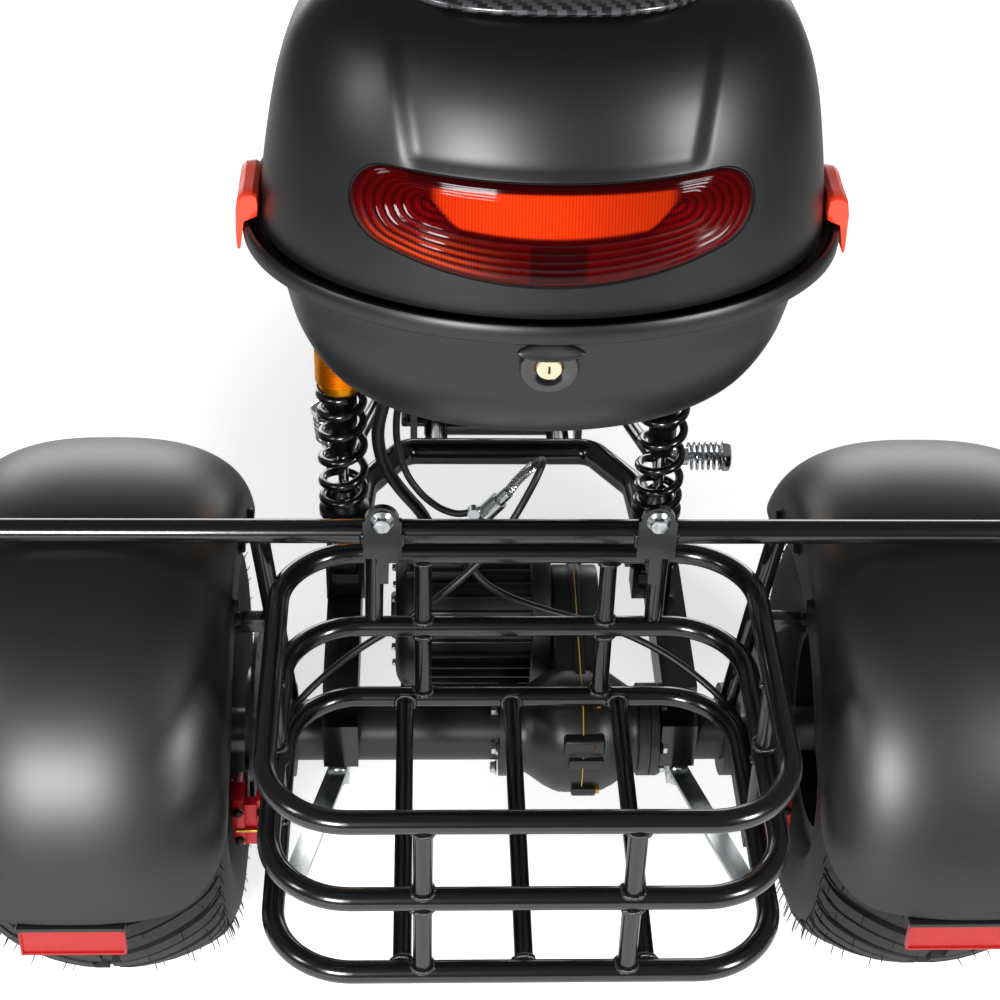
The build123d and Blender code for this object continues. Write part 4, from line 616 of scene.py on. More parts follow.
rim_z = 907.0
high_left, high_right, low_left, low_right = (-108, 106.5), (108, 106.5), (-112, 53), (112, 53)
edge = (arc_through(high_left, (0, 106), high_right, 70) + arc_through(high_right, (134, 84), low_right, 48)
        + arc_through(low_right, (0, 37), low_left, 90) + arc_through(low_left, (-134, 84), high_left, 48))
for _ in range(7):
    edge = [tuple((edge[i - 1][k] + 2 * edge[i][k] + edge[(i + 1) % len(edge)][k]) / 4 for k in (0, 1))
            for i in range(len(edge))]
lens_rings, rib_count, lens_swell = 56, 9.0, 3.4
spine_end, spine_z_middle = 88.0, 88
rows, tones = [], []
bright, deep, dark, painted_lamp_glint = (srgb(code)[:3] for code in ("#B92A07", "#4C0103", "#1E0102", "#D2410F"))
for ring in range(lens_rings + 1):
    s = ring / lens_rings
    wave = cos(s * 2 * pi * rib_count)
    fade = steep((s - 0.34) / 0.04) * steep((0.97 - s) / 0.05)
    rows.append([])
    for x_edge, z_edge in edge:
        spine_x = max(min(x_edge, spine_end), -spine_end) * 0.88
        spine_z = spine_z_middle + 0.0004 * spine_x * spine_x
        x, z = spine_x + (x_edge - spine_x) * s, spine_z + (z_edge - spine_z) * s
        off = abs(x)
        end, below = steep((abs(x_edge) - 62) / 40), steep((90 - z_edge) / 20)
        ribs = wave * (0.2 + 0.8 * end) * (0.2 + 0.8 * below) * fade
        swell = lens_swell * sqrt(max(1 - s**6, 0.0))
        rows[-1].append(at(x, lid_y(x, rim_z + z) - swell + 0.45 * ribs, rim_z + z))
        band_low = 71.0 + 0.0008 * x * x + 16.0 * steep((off - 60.0) / 26.0)
        band_high = 101.5 - 0.0002 * x * x
        band = steep((z - band_low) / 2.5) * steep((band_high - z) / 2.0) * steep((83 - off) / 9)
        # darker along the band's lower edge, above the band and round the lens's edge
        frame_line = exp(-(((z - band_low + 1.6) / 1.3) ** 2)) * steep((92 - off) / 6)
        top_line = steep((z - band_high) / 1.5) * steep((100 - off) / 8)
        rim_line = 0.8 * frame_line + steep((s - 0.965) / 0.02) + 0.8 * top_line
        # painted light and shade of the ribs: lighter in their valleys, more so towards the ends and the
        # bottom
        valley = (0.5 + 0.5 * wave) * (0.4 + 0.6 * below)
        tone = [c * (0.35 + valley * (0.3 + 0.7 * end)) for c in deep]
        # painted reflection of the key lamp: an amber glint low on the left
        tone = blend(tone, painted_lamp_glint, 0.65 * steep((-20 - x) / 70) * steep((74 - z) / 22) * valley**2)
        # painted highlight on the band, brightest a little left of the middle
        painted_band_highlight = 0.55 + 0.45 * exp(-(((x + 25.0) / 55.0) ** 2))
        tone = blend(tone, [c * painted_band_highlight for c in bright], band)
        block = steep((z - 40) / 2) * steep((68 - z) / 2) * steep((abs(x - 3.0) - 19.5) / -1.5)
        tones.append([c * (1 - 0.6 * block) * (1 - 0.6 * min(rim_line, 1)) for c in tone])
rows.append([at(x, lid_y(x, rim_z + z) + 2.0, rim_z + z) for x, z in edge])
verts, faces = closed_rows(rows, capped=False)
middle, count = len(verts), len(edge)
verts.append(at(0, lid_y(0, rim_z + 80) + 4, rim_z + 80))
faces += [(middle - count + i, middle - count + (i + 1) % count, middle) for i in range(count)]
tones += [dark] * (count + 1)
acrylic, shader = surface("moulded_red_acrylic_lens", "#660204", Roughness=0.07, IOR=1.49,
                          Specular_IOR_Level=0.12)
tree = acrylic.node_tree
tint = add(tree, "ShaderNodeAttribute", attribute_name="lens_tone")
# the flutes' light and shade is painted as lighter and darker stripes in the colour
flutes = add(tree, "ShaderNodeTexWave", {"Vector": object_point(tree), "Scale": 1000.0 / 2.2 / 6.28 * 2,
                                         "Distortion": 0.0}, bands_direction="X")
brightness = add(tree, "ShaderNodeMapRange", {"Value": flutes.outputs["Fac"], "To Min": 0.72, "To Max": 1.12})
toned = add(tree, "ShaderNodeVectorMath", {0: tint.outputs["Color"], "Scale": brightness}, operation="SCALE")
plug(shader, "Base Color", toned)
mesh = mesh_of("lamp_lens", verts, faces)
layer = mesh.color_attributes.new("lens_tone", "FLOAT_COLOR", "POINT")
for value, tone in zip(layer.data, tones):
    value.color = (*tone, 1.0)
finished("lamp_lens", outward(mesh, 2e-6), acrylic, "red_lens", "tail_light", "box_lid", 60.0)


def tube(points, radius, sides=10, closed=False):
    """A tube along a path, its places and its one radius or list of radii in metres."""
    count = len(points)
    rows, side = [], None
    for i, point in enumerate(points):
        before = points[i - 1] if i or closed else point
        after = points[(i + 1) % count] if i < count - 1 or closed else point
        along = (after - before).normalized()
        if side is None:
            side = along.orthogonal().normalized()
        side = (side - along * side.dot(along)).normalized()
        other = along.cross(side)
        size = radius[i] if isinstance(radius, list) else radius
        rows.append([point + (side * cos(tau * k / sides) + other * sin(tau * k / sides)) * size
                     for k in range(sides)])
    return closed_rows(rows + rows[:1], False) if closed else closed_rows(rows)


line = [(x * 1.008, 83 + (z - 83) * 1.02) for x, z in edge]
line = [at(x, lid_y(x, rim_z + z) - 0.4, rim_z + z) for x, z in line]
shaped("lamp_gasket", [tube(line, 0.0006, closed=True)], rubber_seal, "black_plastic", body="box_lid")


# ---- Lock ----
# A key lock under the rim: a cream nylon barrel with a slot in a dished black bezel, and
# a smooth half-moon thumb lip on the rim above it.
def turned(profile, centre, along, sides=40):
    """A shape turned on a lathe: (distance along, radius) in millimetres from a centre in metres."""
    along = Vector(along).normalized()
    side, other = square_to(along)
    ring = [side * cos(tau * k / sides) + other * sin(tau * k / sides) for k in range(sides)]
    return closed_rows([[centre + (along * d + way * r) / 1000.0 for way in ring] for d, r in profile])


def rounded(form, bevel, segments):
    """The points and faces of a form in millimetres, put in place, with rounded edges."""
    bmesh.ops.bevel(form, geom=list(form.edges), offset=bevel, segments=segments, affect="EDGES", profile=0.5)
    form.verts.index_update()
    made = [at(*v.co) for v in form.verts], [tuple(v.index for v in face.verts) for face in form.faces]
    form.free()
    return made


def slab(low, high, bevel=0.6, segments=2):
    """A block with rounded edges between two corners given in millimetres."""
    form = bmesh.new()
    bmesh.ops.create_cube(form, size=1.0)
    for vert in form.verts:
        vert.co = Vector([low[k] + (vert.co[k] + 0.5) * (high[k] - low[k]) for k in range(3)])
    return rounded(form, bevel, segments)


bezel = [(-14, 12), (-14, 20.5), (1.6, 20.5), (3.6, 19.4), (4.2, 17.0), (3.4, 13.5), (2.2, 10.5),
         (1.2, 8.9), (-10, 8.9)]
barrel = [(-8, 8.7), (2.6, 8.7), (3.6, 8.3), (4.0, 7.4), (4.0, 0.2)]
lock_place, lock_way = at(0, -328.5, 878.5), (0, -1, -0.12)
glossy_abs = coat("polished_abs_black", "#09090A", 8.0, 0.02, Roughness=0.14, Coat_Weight=0.5,
                  Coat_Roughness=0.05)
nylon = coat("cream_nylon", "#B8A285", 2.0, 0.02, Roughness=0.34, Subsurface_Weight=0.05)
shaped("lock_bezel", [turned(bezel, lock_place, lock_way)], glossy_abs, "gloss_black", "box_lock")
shaped("lock_barrel", [turned(barrel, lock_place, lock_way)], nylon, "gloss_black")
shaped("lock_slot", [slab((-0.7, -333.3, 875.5), (0.7, -331.8, 881.5), 0.25)], blackened, "gloss_black")
lip_half, lip_rise = 23.0, 6.2
rows = []
for s, lift in ((1.0, 3.0), (1.0, 0.6), (0.96, -0.9), (0.85, -2.0), (0.6, -3.0), (0.3, -3.5), (0.05, -3.6)):
    rows.append([])
    for i in range(48):
        x, z = lip_half * s * cos(tau * i / 48), lip_rise * s * sin(tau * i / 48)
        z *= 0.55 + 0.45 * sqrt(1 - (x / 25.0) ** 2)
        y = box_middle_y - 153.0 * sqrt(1 - (x / 214) ** 2)
        rows[-1].append(at(x, y + lift * 0.5 - 2.0 - 5.0 * (0.5 - z / (2 * lip_rise))
                           - 2.5 * (x / lip_half) ** 2, 899.0 + z))
shaped("thumb_lip", [closed_rows(rows)], abs_satin, "black_plastic", sharp=70.0)

# ---- Latches ----
# Two spring latches moulded in orange-red nylon, hooked over the rim at the box's sides,
# and at the front two hinges: knuckles on a steel pin, screwed to bowl and lid.
latch_nylon = coat("moulded_nylon_orange_red", "#E0391C", 1.4, 0.02, Roughness=0.34, Subsurface_Weight=0.04)
section = [(202.8, 926), (207.5, 923.6), (212.0, 922.2), (215.8, 921), (216.4, 912), (216.4, 901.5),
           (217.0, 899.4), (218.6, 899.6), (219.4, 903), (219.6, 911), (219.4, 919), (218.6, 931),
           (216.6, 941), (212.8, 944.6), (206.0, 945.4), (202.2, 943), (201.6, 935)]
stations = [(1, 2.2), (0.95, 0.9), (0.84, 0.15), (0.5, 0), (0.2, 0.5)]
stations = [(-t, pull) for t, pull in stations] + stations[::-1]
latch_x, latch_z, latch_half = 211.5, 920, 27
hinge_y, hinge_z = -4, 908


def latch_row(side, t, pull):
    """The latch's section at a place along it, drawn in near its ends and at its waist."""
    row = []
    for x, z in section:
        waist = 5.0 * steep((z - 896) / 12) * steep((936 - z) / 14) * (1 if t < 0 else 0.6)
        row.append(at(side * (latch_x + (x - latch_x) * (1 - pull / 22)),
                      box_middle_y + t * (latch_half - waist * 0.8),
                      latch_z + (z - latch_z) * (1 - pull / 40)))
    return row


latches = [closed_rows([latch_row(side, t, pull) for t, pull in stations]) for side in SIDES]
shaped("side_latches", latches, latch_nylon, "red_latch", "box_latches", "box_lid")


def knuckle(x, half, bore, plate_low, plate_high):
    """A hinge knuckle with its plate."""
    roll = [(-half, bore), (-half, 4.4), (0.6 - half, 5), (half - 0.6, 5), (half, 4.4), (half, bore)]
    return [turned(roll, at(x, hinge_y, hinge_z), RIGHT, 24),
            slab((x - half, *plate_low), (x + half, *plate_high), 0.8)]


ears = [knuckle(x + end, 5.8, 2.2, (-16, 902.5), (-5, 906.3)) for x in (-70, 70) for end in (-14, 14)]
shaped("hinge_ears", sum(ears, []), abs_satin, "black_plastic")
knuckles = [knuckle(x, 6.8, 2.3, (-18, 908.4), (-5, 912.6)) for x in (-70, 70)]
shaped("hinge_knuckles", sum(knuckles, []), abs_satin, "black_plastic", body="box_lid")

# ---- Shock absorbers ----
# Two coil-over dampers: a wound spring steel coil in black powder coat, a machined collar
# anodised gold with fine turned rings, a threaded body, and a chromed rod.
shock_x = [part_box("shock_springs")[0].x * 1000 + 25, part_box("shock_springs")[1].x * 1000 - 25]
shock_y, low_eye_z, high_eye_z = 150.0, 324.0, 664.0
coil_low, coil_high, coil_turns, coil_steps = 399.0, 535.0, 5.7, 190
coil_radius, wire_radius = 20.8, 0.0042


def shock_coil(x):
    """One spring's wire, its turns closer together near both ends."""
    path = []
    for t in (i / coil_steps for i in range(coil_steps + 1)):
        dx, dy = polar(coil_radius, tau * coil_turns * t + (0.6 if x < 0 else 2.4))
        path.append(at(x + dx, shock_y + dy, coil_low + (coil_high - coil_low) * (t - 0.045 * sin(tau * t))))
    return tube(path, wire_radius, 12)


def on_shocks(profile, sides=48, z=0.0, along=UP):
    """A turned shape on each shock."""
    return [turned(profile, at(x, shock_y, z), along, sides) for x in shock_x]


shaped("shock_coils", [shock_coil(x) for x in shock_x], powder_coat, "frame_black", "shock_springs")
gold, shader = surface("gold_anodised_aluminium", "#F9A714", Metallic=1.0, Roughness=0.34)
bump(shader, noise(gold.node_tree, 1.5), 0.00001)
rings = [(540.2, 18.2), (540.2, 22.0), (547.6, 22.0), (547.8, 23.6)]
for z in (548.2 + 3.0 * k for k in range(11)):
    rings += [(z, 24.9), (z + 1.7, 24.9), (z + 2.1, 24.0), (z + 2.7, 24.0)]
rings += [(581.6, 24.9), (581.8, 18.2)]
shaped("shock_adjusters", on_shocks(rings, 64), gold, "gold_anodised", "shock_collars", sharp=25.0)
navy = coat("blue_black_anodised_aluminium", "#151A2C", 2.0, 0.01, Metallic=0.8, Roughness=0.3)
thread = [(575.0, 17.0)]
for z in (575.4 + 2.8 * k for k in range(21)):
    thread += [(z, 19.4), (z + 1.0, 21.0), (z + 1.8, 21.0)]
thread += [(634.5, 19.0), (636, 12), (656, 12), (656, 0.3)]
shaped("shock_threads", on_shocks(thread[::-1]), navy, "cast_black", "shock_dampers")
satin_black = coat("black_anodised_aluminium", "#0D0D0F", 2.0, 0.01, Metallic=0.5, Roughness=0.3)
body = [(536, 0.3), (538, 21.0), (540, 23.5), (540, 15), (496, 15), (494, 13.6), (470, 13.6), (467, 12.2),
        (462, 12.0), (461, 6.2)]
foot = [(412, 6.2), (416, 9.5), (412, 12.5), (404, 17.5), (397, 20), (394, 25), (388, 25), (384, 22),
        (381, 14), (338, 12), (334, 11.5), (326, 0.3)]
eye_ring = [(-13, 6), (-13, 13.6), (-11.5, 15), (11.5, 15), (13, 13.6), (13, 6)]
shaped("shock_bodies", on_shocks(body) + on_shocks(foot) + on_shocks(eye_ring, 40, low_eye_z, RIGHT)
       + on_shocks(eye_ring, 40, high_eye_z, RIGHT), satin_black, "cast_black")
chrome = coat("hard_chromed_steel", "#D9DCDF", 12.0, 0.004, Metallic=1.0, Roughness=0.08)
shaped("shock_rods", on_shocks([(406, 0.3), (406, 5.4), (468, 5.4), (468, 0.3)], 32), chrome, "chrome")
bolts("shock_bolts", [(x + 20.0 * way[0], shock_y, low_eye_z, way) for x in shock_x for way in (LEFT, RIGHT)],
      7.5, 7.0, 10.0)


# ---- Rear fenders ----
# Injection moulded polypropylene shells in satin black with a very fine grain, broad soft
# sheen on the crown. Each hangs from the cross tube and from plates on the axle end.
polypropylene = coat("moulded_polypropylene_satin_black", "#0D0D0E", 2.0, 0.030, detail=3.0, Roughness=0.4,
                     Specular_IOR_Level=0.6)
dress(polypropylene, "front_fender")
left_wheel_x, right_wheel_x, front_wheel_x = (middle_of(name + "_tyre", 0) * 1000
                                              for name in ("rear_left", "rear_right", "front"))
front_wheel_y = (middle_of("front_tyre", 1) - axle_y) * 1000
fender_radius, fender_rise, fender_wall, corner_round = 227.0, 62.0, 4.0, 50.0
tip_z, front_angle = 269.2, radians(152.0)
side_power, crown_power = 2 / 2.6, 2 / 1.9
skirt_rows, skirt_step = 4, 9.0
columns, steps = 26, 84


def fender_rows(centre, half):
    """Rings of the skin's points: over the outside from skirt to skirt and back along the inside."""
    across = []
    for k in range(-columns, columns + 1):
        a = pi / 2 * abs(k) / columns
        across.append((copysign(sin(a) ** side_power, k), max(cos(a), 0.0) ** crown_power, 0.0))
    skirt = [(1.0, 0.0, skirt_step * k) for k in range(1, skirt_rows + 1)]
    across = [(-u, h, d) for u, h, d in reversed(skirt)] + across + skirt
    rows = []
    for s in (step / steps for step in range(steps + 1)):
        walls = []
        for wall in (0.0, fender_wall):
            row = []
            for u, h, d in across:
                radius = fender_radius + fender_rise * h - d - (wall if d < skirt_step * skirt_rows else 0.0)
                reach = max(abs(u) * half - (half - corner_round), 0.0)
                cut = corner_round - sqrt(max(corner_round**2 - reach * reach, 0.0))
                first = asin((tip_z + cut + 0.9 * d - wheel_z) / radius)
                a = first + (front_angle - 0.0022 * cut - 0.004 * d - first) * s
                row.append(at(centre + u * (half - wall), -radius * cos(a), wheel_z + radius * sin(a)))
            walls.append(row)
        rows.append(walls[0] + walls[1][::-1])
    return rows


fender_seats, brackets = [], []
bolt_places = ((-62.0, 442.0), (-52.0, 418.0), (24.0, 442.0), (120.0, 405.0))
for name, centre, half, side, wheel_x in (("left", -390.5, 133.5, -1, left_wheel_x),
                                          ("right", 405.0, 135.0, 1, right_wheel_x)):
    rows = fender_rows(centre, half)
    verts, faces = closed_rows(rows, capped=False)
    ring, last = len(rows[0]), (len(rows) - 1) * len(rows[0])
    for i in range(ring // 2 - 1):
        j = ring - 1 - i
        faces += [(i, i + 1, j - 1, j), (last + i, last + j, last + j - 1, last + i + 1)]
    plate = slab((wheel_x - 51, -280.4, 243), (wheel_x + 35, -277.2, 279), 1.0)
    shaped("fender_" + name, [(verts, faces), plate], polypropylene, "black_plastic",
           "rear_fender_" + name, sharp=40.0)
    edge = centre - side * half
    fender_seats += [(edge, y, z, (-side, 0, 0)) for y, z in bolt_places]
    near, far = sorted((edge, side * 222.0))
    brackets.append(slab((near, -54, 402), (far, -40, 418), 1.2))
bolts("fender_bolts", fender_seats, 6.5, 5.0, 9.0, material=blackened, slot="cast_black")
shaped("fender_brackets", brackets, powder_coat, "frame_black")

# ---- Tyres ----
# 18 x 9.5-8 tubeless balloon tyres of carbon black rubber: directional tread of long curved
# lugs cut by sipes, ribbed shoulders, bead rings, and the little vent hairs of the mould.
tyre_rubber = coat("moulded_tyre_rubber", "#161616", 1.2, 0.05, tones=("#111112", "#1D1D1D"), Roughness=0.62,
                   Specular_IOR_Level=0.35)
tread_line = [(4, 229), (19, 229), (38, 226.2), (57, 221.2), (76, 214.2), (94, 205.2), (104, 198), (111, 189)]
tread_depth, lug_pitches = 7.0, 26
carcass = [(88, 104), (88, 112), (89.5, 117), (95, 118.5), (104, 124), (110, 131), (115.5, 146),
           (117.5, 162), (116, 176), (112.5, 184), (108, 190), (103, 193.5), (92, 199), (75, 207.5),
           (57, 214.3), (38, 219.3), (19, 222), (0, 222.3)]
skin = [(-x, r) for x, r in carcass] + carcass[-2::-1]
inside = [(x * 0.88, r - 8 if r > 185 else r) for x, r in skin]


def tread_point(u, swing, sink=0.0):
    """A point on the tread at u from 0, the middle, to 1, the shoulder, swung by an angle round the axle."""
    u = min(max(u, 0.0), 1.0) * (len(tread_line) - 1)
    i = min(int(u), len(tread_line) - 2)
    (x0, r0), (x1, r1) = tread_line[i], tread_line[i + 1]
    x, r = x0 + (x1 - x0) * (u - i), r0 + (r1 - r0) * (u - i) - sink
    return x, r * sin(swing), r * cos(swing)


def lug(side, u_start, u_end, first, wide, steps=9):
    """One curved lug from the middle towards the shoulder."""
    rows = []
    for k in range(steps + 1):
        u = u_start + (u_end - u_start) * k / steps
        low = first + radians(15.0 * u**1.35)
        high = low + radians(wide * (1.0 - 0.12 * u))
        slope, root = radians(0.22), tread_depth + 1.5
        places = ((low - slope, root), (low, 0.7), (low + slope * 0.8, 0.0), (high - slope * 0.8, 0.0),
                  (high, 0.7), (high + slope, root))
        points = [tread_point(u, *place) for place in places]
        rows.append([(side * x / 1000, y / 1000, z / 1000) for x, y, z in points])
    return closed_rows(rows)


def hair(side, u, swing, length):
    """A vent hair: a thin bent whisker standing out of the rubber."""
    path = [Vector([c / 1000 for c in tread_point(u, swing, 1.0 - length * t)]) for t in (0, 0.5, 1)]
    for i, point in enumerate(path):
        point.x = side * (point.x + 0.0012 * i * (1 + u))
        point.y += 0.0009 * i
    return tube(path, [0.0007, 0.0006, 0.00035], 4)


hairs = [(0.3, 9.0, 8.0), (0.55, 4.0, 11.0), (0.72, 12.0, 9.0), (0.88, 9.0, 12.0), (0.95, 14.5, 13.0),
         (1.0, 19.0, 11.0), (1.0, 24.0, 9.0)]
parts = []
for side, base in ((1, 0.0), (-1, radians(180.0 / lug_pitches))):
    parts += [lug(side, 0.0, 0.97, base, 5.3), lug(side, 0.10, 1.0, base + radians(6.2), 4.9),
              lug(side, 0.80, 1.0, base - radians(1.6), 0.8, 2)]
    parts += [hair(side, u, base + radians(swing), length) for u, swing, length in hairs]
pitch = outward(mesh_of("tread_pitch", *joined(parts)))
pitch = [tuple(v.co) for v in pitch.vertices], [tuple(face.vertices) for face in pitch.polygons]
ring_tree, given = new_tree("ring_round_axle",
                            {"Count": ("Int", lug_pitches), "Centre": ("Vector", (0.0, 0.0, 0.0))})
spots = add(ring_tree, "GeometryNodePoints", {"Count": given["Count"]})
share = calculate(ring_tree, "DIVIDE", ring_tree.nodes.new("GeometryNodeInputIndex"), given["Count"])
swing = add(ring_tree, "ShaderNodeCombineXYZ", {"X": calculate(ring_tree, "MULTIPLY", share, tau)})
copies = add(ring_tree, "GeometryNodeInstanceOnPoints", {"Points": spots, "Instance": given["Geometry"],
                                                         "Rotation": swing})
centred = add(ring_tree, "GeometryNodeTransform", {"Geometry": copies, "Translation": given["Centre"]})
close_tree(ring_tree, given, centred)
for wheel, x, y in (("rear_left", left_wheel_x, 0.0), ("rear_right", right_wheel_x, 0.0),
                    ("front", front_wheel_x, front_wheel_y)):
    rows = []
    for a in (tau * k / 144 for k in range(144)):
        rows.append([at(x + px, y + r * sin(a), wheel_z + r * cos(a)) for px, r in skin + inside[::-1]])
    shaped(wheel + "_tyre_carcass", [closed_rows(rows + rows[:1], capped=False)], tyre_rubber, "tyre_rubber",
           wheel + "_tyre", wheel + "_wheel", 50.0)
    grow(wheel + "_tread", pitch, ring_tree, tyre_rubber, "tyre_rubber", wheel + "_wheel", sharp=30.0,
         Count=lug_pitches, Centre=at(x, y, wheel_z))

# ---- Rims, hubs and discs ----
# Steel rims in satin black stove enamel with round windows, turned steel hubs with a
# castle nut, and drilled brake discs of bare ground steel, blackened by the pads.
enamel = coat("stove_enamelled_steel_satin_black", "#101012", 2.5, 0.02, Roughness=0.34)
dress(enamel, "rear_left_rim", "rear_right_rim", "front_rim")
machined = coat("machined_steel", "#8C8E91", 1.5, 0.01, Metallic=1.0, Roughness=0.34)
dress(machined, "rear_left_hub", "rear_right_hub", "front_axle")
disc_steel, shader = surface("ground_disc_steel", "#55565A", Metallic=1.0, Roughness=0.3)
tree = disc_steel.node_tree
from_axle = add(tree, "ShaderNodeMapping",
                {"Vector": object_point(tree), "Location": tuple(-at(0, 0, wheel_z))})
rings = add(tree, "ShaderNodeTexWave", {"Vector": from_axle, "Scale": 1000.0 / 1.2 / 6.28, "Distortion": 1.0},
            wave_type="RINGS", rings_direction="X")
bump(shader, rings.outputs["Fac"], 0.00003, 0.7)
dress(disc_steel, "rear_left_brake_disc", "rear_right_brake_disc", "front_brake_disc")
for wheel, side, way in (("rear_left", -1, LEFT), ("rear_right", 1, RIGHT)):
    face_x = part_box(wheel + "_hub")[1 if side > 0 else 0].x * 1000
    nuts = [polar(22, tau * k / 5) for k in range(5)]
    bolts(wheel + "_wheel_nuts", [(face_x - side * 4.0, y, wheel_z + z, way) for y, z in nuts], 5.5, 7.0, 6.6,
          body=wheel + "_wheel")
    bolts(wheel + "_castle_nut", [(face_x - side * 3.0, 0.0, wheel_z, way)], 13.0, 9.0, 15.0,
          body=wheel + "_wheel")

# ---- Brake calipers ----
# Two-piece machined aluminium calipers anodised red: a body each side of the disc, a bridge
# behind it, a passivated steel pad pin across the window, and a brass fitting for the hose.
anodised_red = coat("red_anodised_aluminium", "#B3101C", 0.8, 0.015, Metallic=0.35, Roughness=0.32,
                    Coat_Weight=0.2)


def prism(outline, x0, x1, bevel=1.2):
    """An outline in (y, z) carried from x0 to x1, its edges rounded."""
    form = bmesh.new()
    base = form.faces.new([form.verts.new((x0, y, z)) for y, z in outline])
    grown = bmesh.ops.extrude_face_region(form, geom=[base])
    for vert in (v for v in grown["geom"] if isinstance(v, bmesh.types.BMVert)):
        vert.co.x = x1
    bmesh.ops.recalc_face_normals(form, faces=form.faces)
    return rounded(form, bevel, 2)


def rod(half, radius, centre, along, sides):
    """A plain round rod about a centre, its sizes in millimetres."""
    return turned([(-half, 0.2), (-half, radius), (half, radius), (half, 0.2)], centre, along, sides)


cheek = [(-130, 203), (-112, 199), (-92, 203), (-80, 214), (-78, 246), (-88, 258), (-108, 264), (-126, 258),
         (-133, 244), (-133, 216)]
bridge = [(-132, 206), (-119, 203), (-117, 225), (-118, 240), (-120, 258), (-130, 256)]
piston_cap = [(0, 0.2), (0, 10.5), (3.4, 10.5), (4.6, 9.2), (4.6, 4.0), (3.6, 3.4), (3.6, 0.2)]
fitting = [(0, 0.2), (0, 7.5), (9, 7.5), (10, 6.5), (10, 5.0), (22, 5.0), (23, 4.4), (23, 3.6)]
fitting_collar = [(9.5, 3.6), (9.5, 5.6), (18.5, 5.6), (18.5, 3.6)]
caliper_x, banjo_x = 246, 235
parts, banjos = [], []
for side in SIDES:
    x = side * caliper_x
    parts += [prism(cheek, x - 17, x - 5.4), prism(cheek, x + 5.4, x + 17),
              prism(bridge, x - 6.5, x + 6.5, 0.8)]
    parts += [turned(piston_cap, at(x + side * 16.8, -98, z), (side, 0, 0), 32) for z in (218, 243)]
    banjos += [turned(form, at(side * banjo_x, -100, 257.5), (side * -0.02, 0.06, 1), sides)
               for form, sides in ((fitting, 6), (fitting_collar, 24))]
shaped("rear_caliper_bodies", parts, anodised_red, "red_metal", "rear_calipers")
shaped("pad_pins", [rod(14, 1.9, at(side * caliper_x, -133.5, 226), RIGHT, 16) for side in SIDES],
       passivated, "gold_anodised")
caliper_seats = [(side * caliper_x + dx, -132.5, z, BACK)
                 for side in SIDES for z in (213, 249) for dx in (-11, 11)]
bolts("caliper_bolts", caliper_seats, 4.2, 3.5, 5.2, 1.0, material=blackened, slot="cast_black")
brass = coat("turned_brass", "#C9A24C", 1.5, 0.01, Metallic=1.0, Roughness=0.25)
shaped("hose_banjos", banjos, brass, "gold_anodised")

# ---- Basket stays, hoses and cable ----
# The stays are zinc plated flat bar. The hoses are black EPDM with a faint cloth print, one
# with a braided steel sleeve at the tee, and the cable has an extruded PVC sheath.
dress(zinc, "basket_stays", "brake_fittings")
hose_rubber = coat("epdm_brake_hose", "#0F0F10", 0.9, 0.04, Roughness=0.45)
dress(hose_rubber, "supply_hose", "left_brake_hose", "right_brake_hose")
sheath = coat("extruded_pvc_sheath", "#0C0C0D", 4.0, 0.03, Roughness=0.3, Specular_IOR_Level=0.5)
dress(sheath, "motor_cable")
hose_start = [at(-3, 100, 448.7), at(5, 100, 462), at(15, 98, 476), at(21.5, 94, 486)]
strands, last = 12, 24
core = []
for i in range(last + 1):
    t = i / last * 3
    k = min(int(t), 2)
    core.append(hose_start[k].lerp(hose_start[k + 1], t - k))


def wire(strand, way):
    """One wire of the braid, wound one way and passing over and under the others."""
    path = []
    for i, point in enumerate(core):
        side, other = square_to((core[min(i + 1, last)] - core[max(i - 1, 0)]).normalized())
        a = tau * strand / strands + way * tau * 1.1 * i / last
        r = 0.0043 + 0.0003 * (1 if (i + strand * 2) % 4 < 2 else -1) * way
        path.append(point + (side * cos(a) + other * sin(a)) * r)
    return tube(path, 0.00055, 5)


shaped("hose_braid", [wire(strand, way) for strand in range(strands) for way in SIDES], zinc, "grey_steel")

# ---- Gear casing ----
# A two part aluminium casting painted black: a bulged differential in the axle and a flat
# drive case up to the motor, split by a liquid gasket that squeezed out yellow at the seam.
cast = coat("cast_aluminium_painted_black", "#131315", 1.4, 0.09, Roughness=0.38, Specular_IOR_Level=0.5)
dress(cast, "axle_housing", "fork_clamps")
gasket_ochre = coat("liquid_gasket_ochre", "#A88C34", 1.0, 0.05, Roughness=0.5)
seam_x, motor_y, motor_z = 70.0, 148.0, 252.0


def case_outline(margin):
    """The drive case seen from its side: round the axle and round the motor shaft."""
    rise = atan2(motor_z - wheel_z, motor_y)
    outline = []
    for centre_y, centre_z, start, radius in ((0.0, wheel_z, 90, 54.0), (motor_y, motor_z, -90, 53.0)):
        for i in range(25):
            dy, dz = polar(radius + margin, radians(start + 180 * i / 24) + rise)
            outline.append((centre_y + dy, centre_z + dz))
    return outline


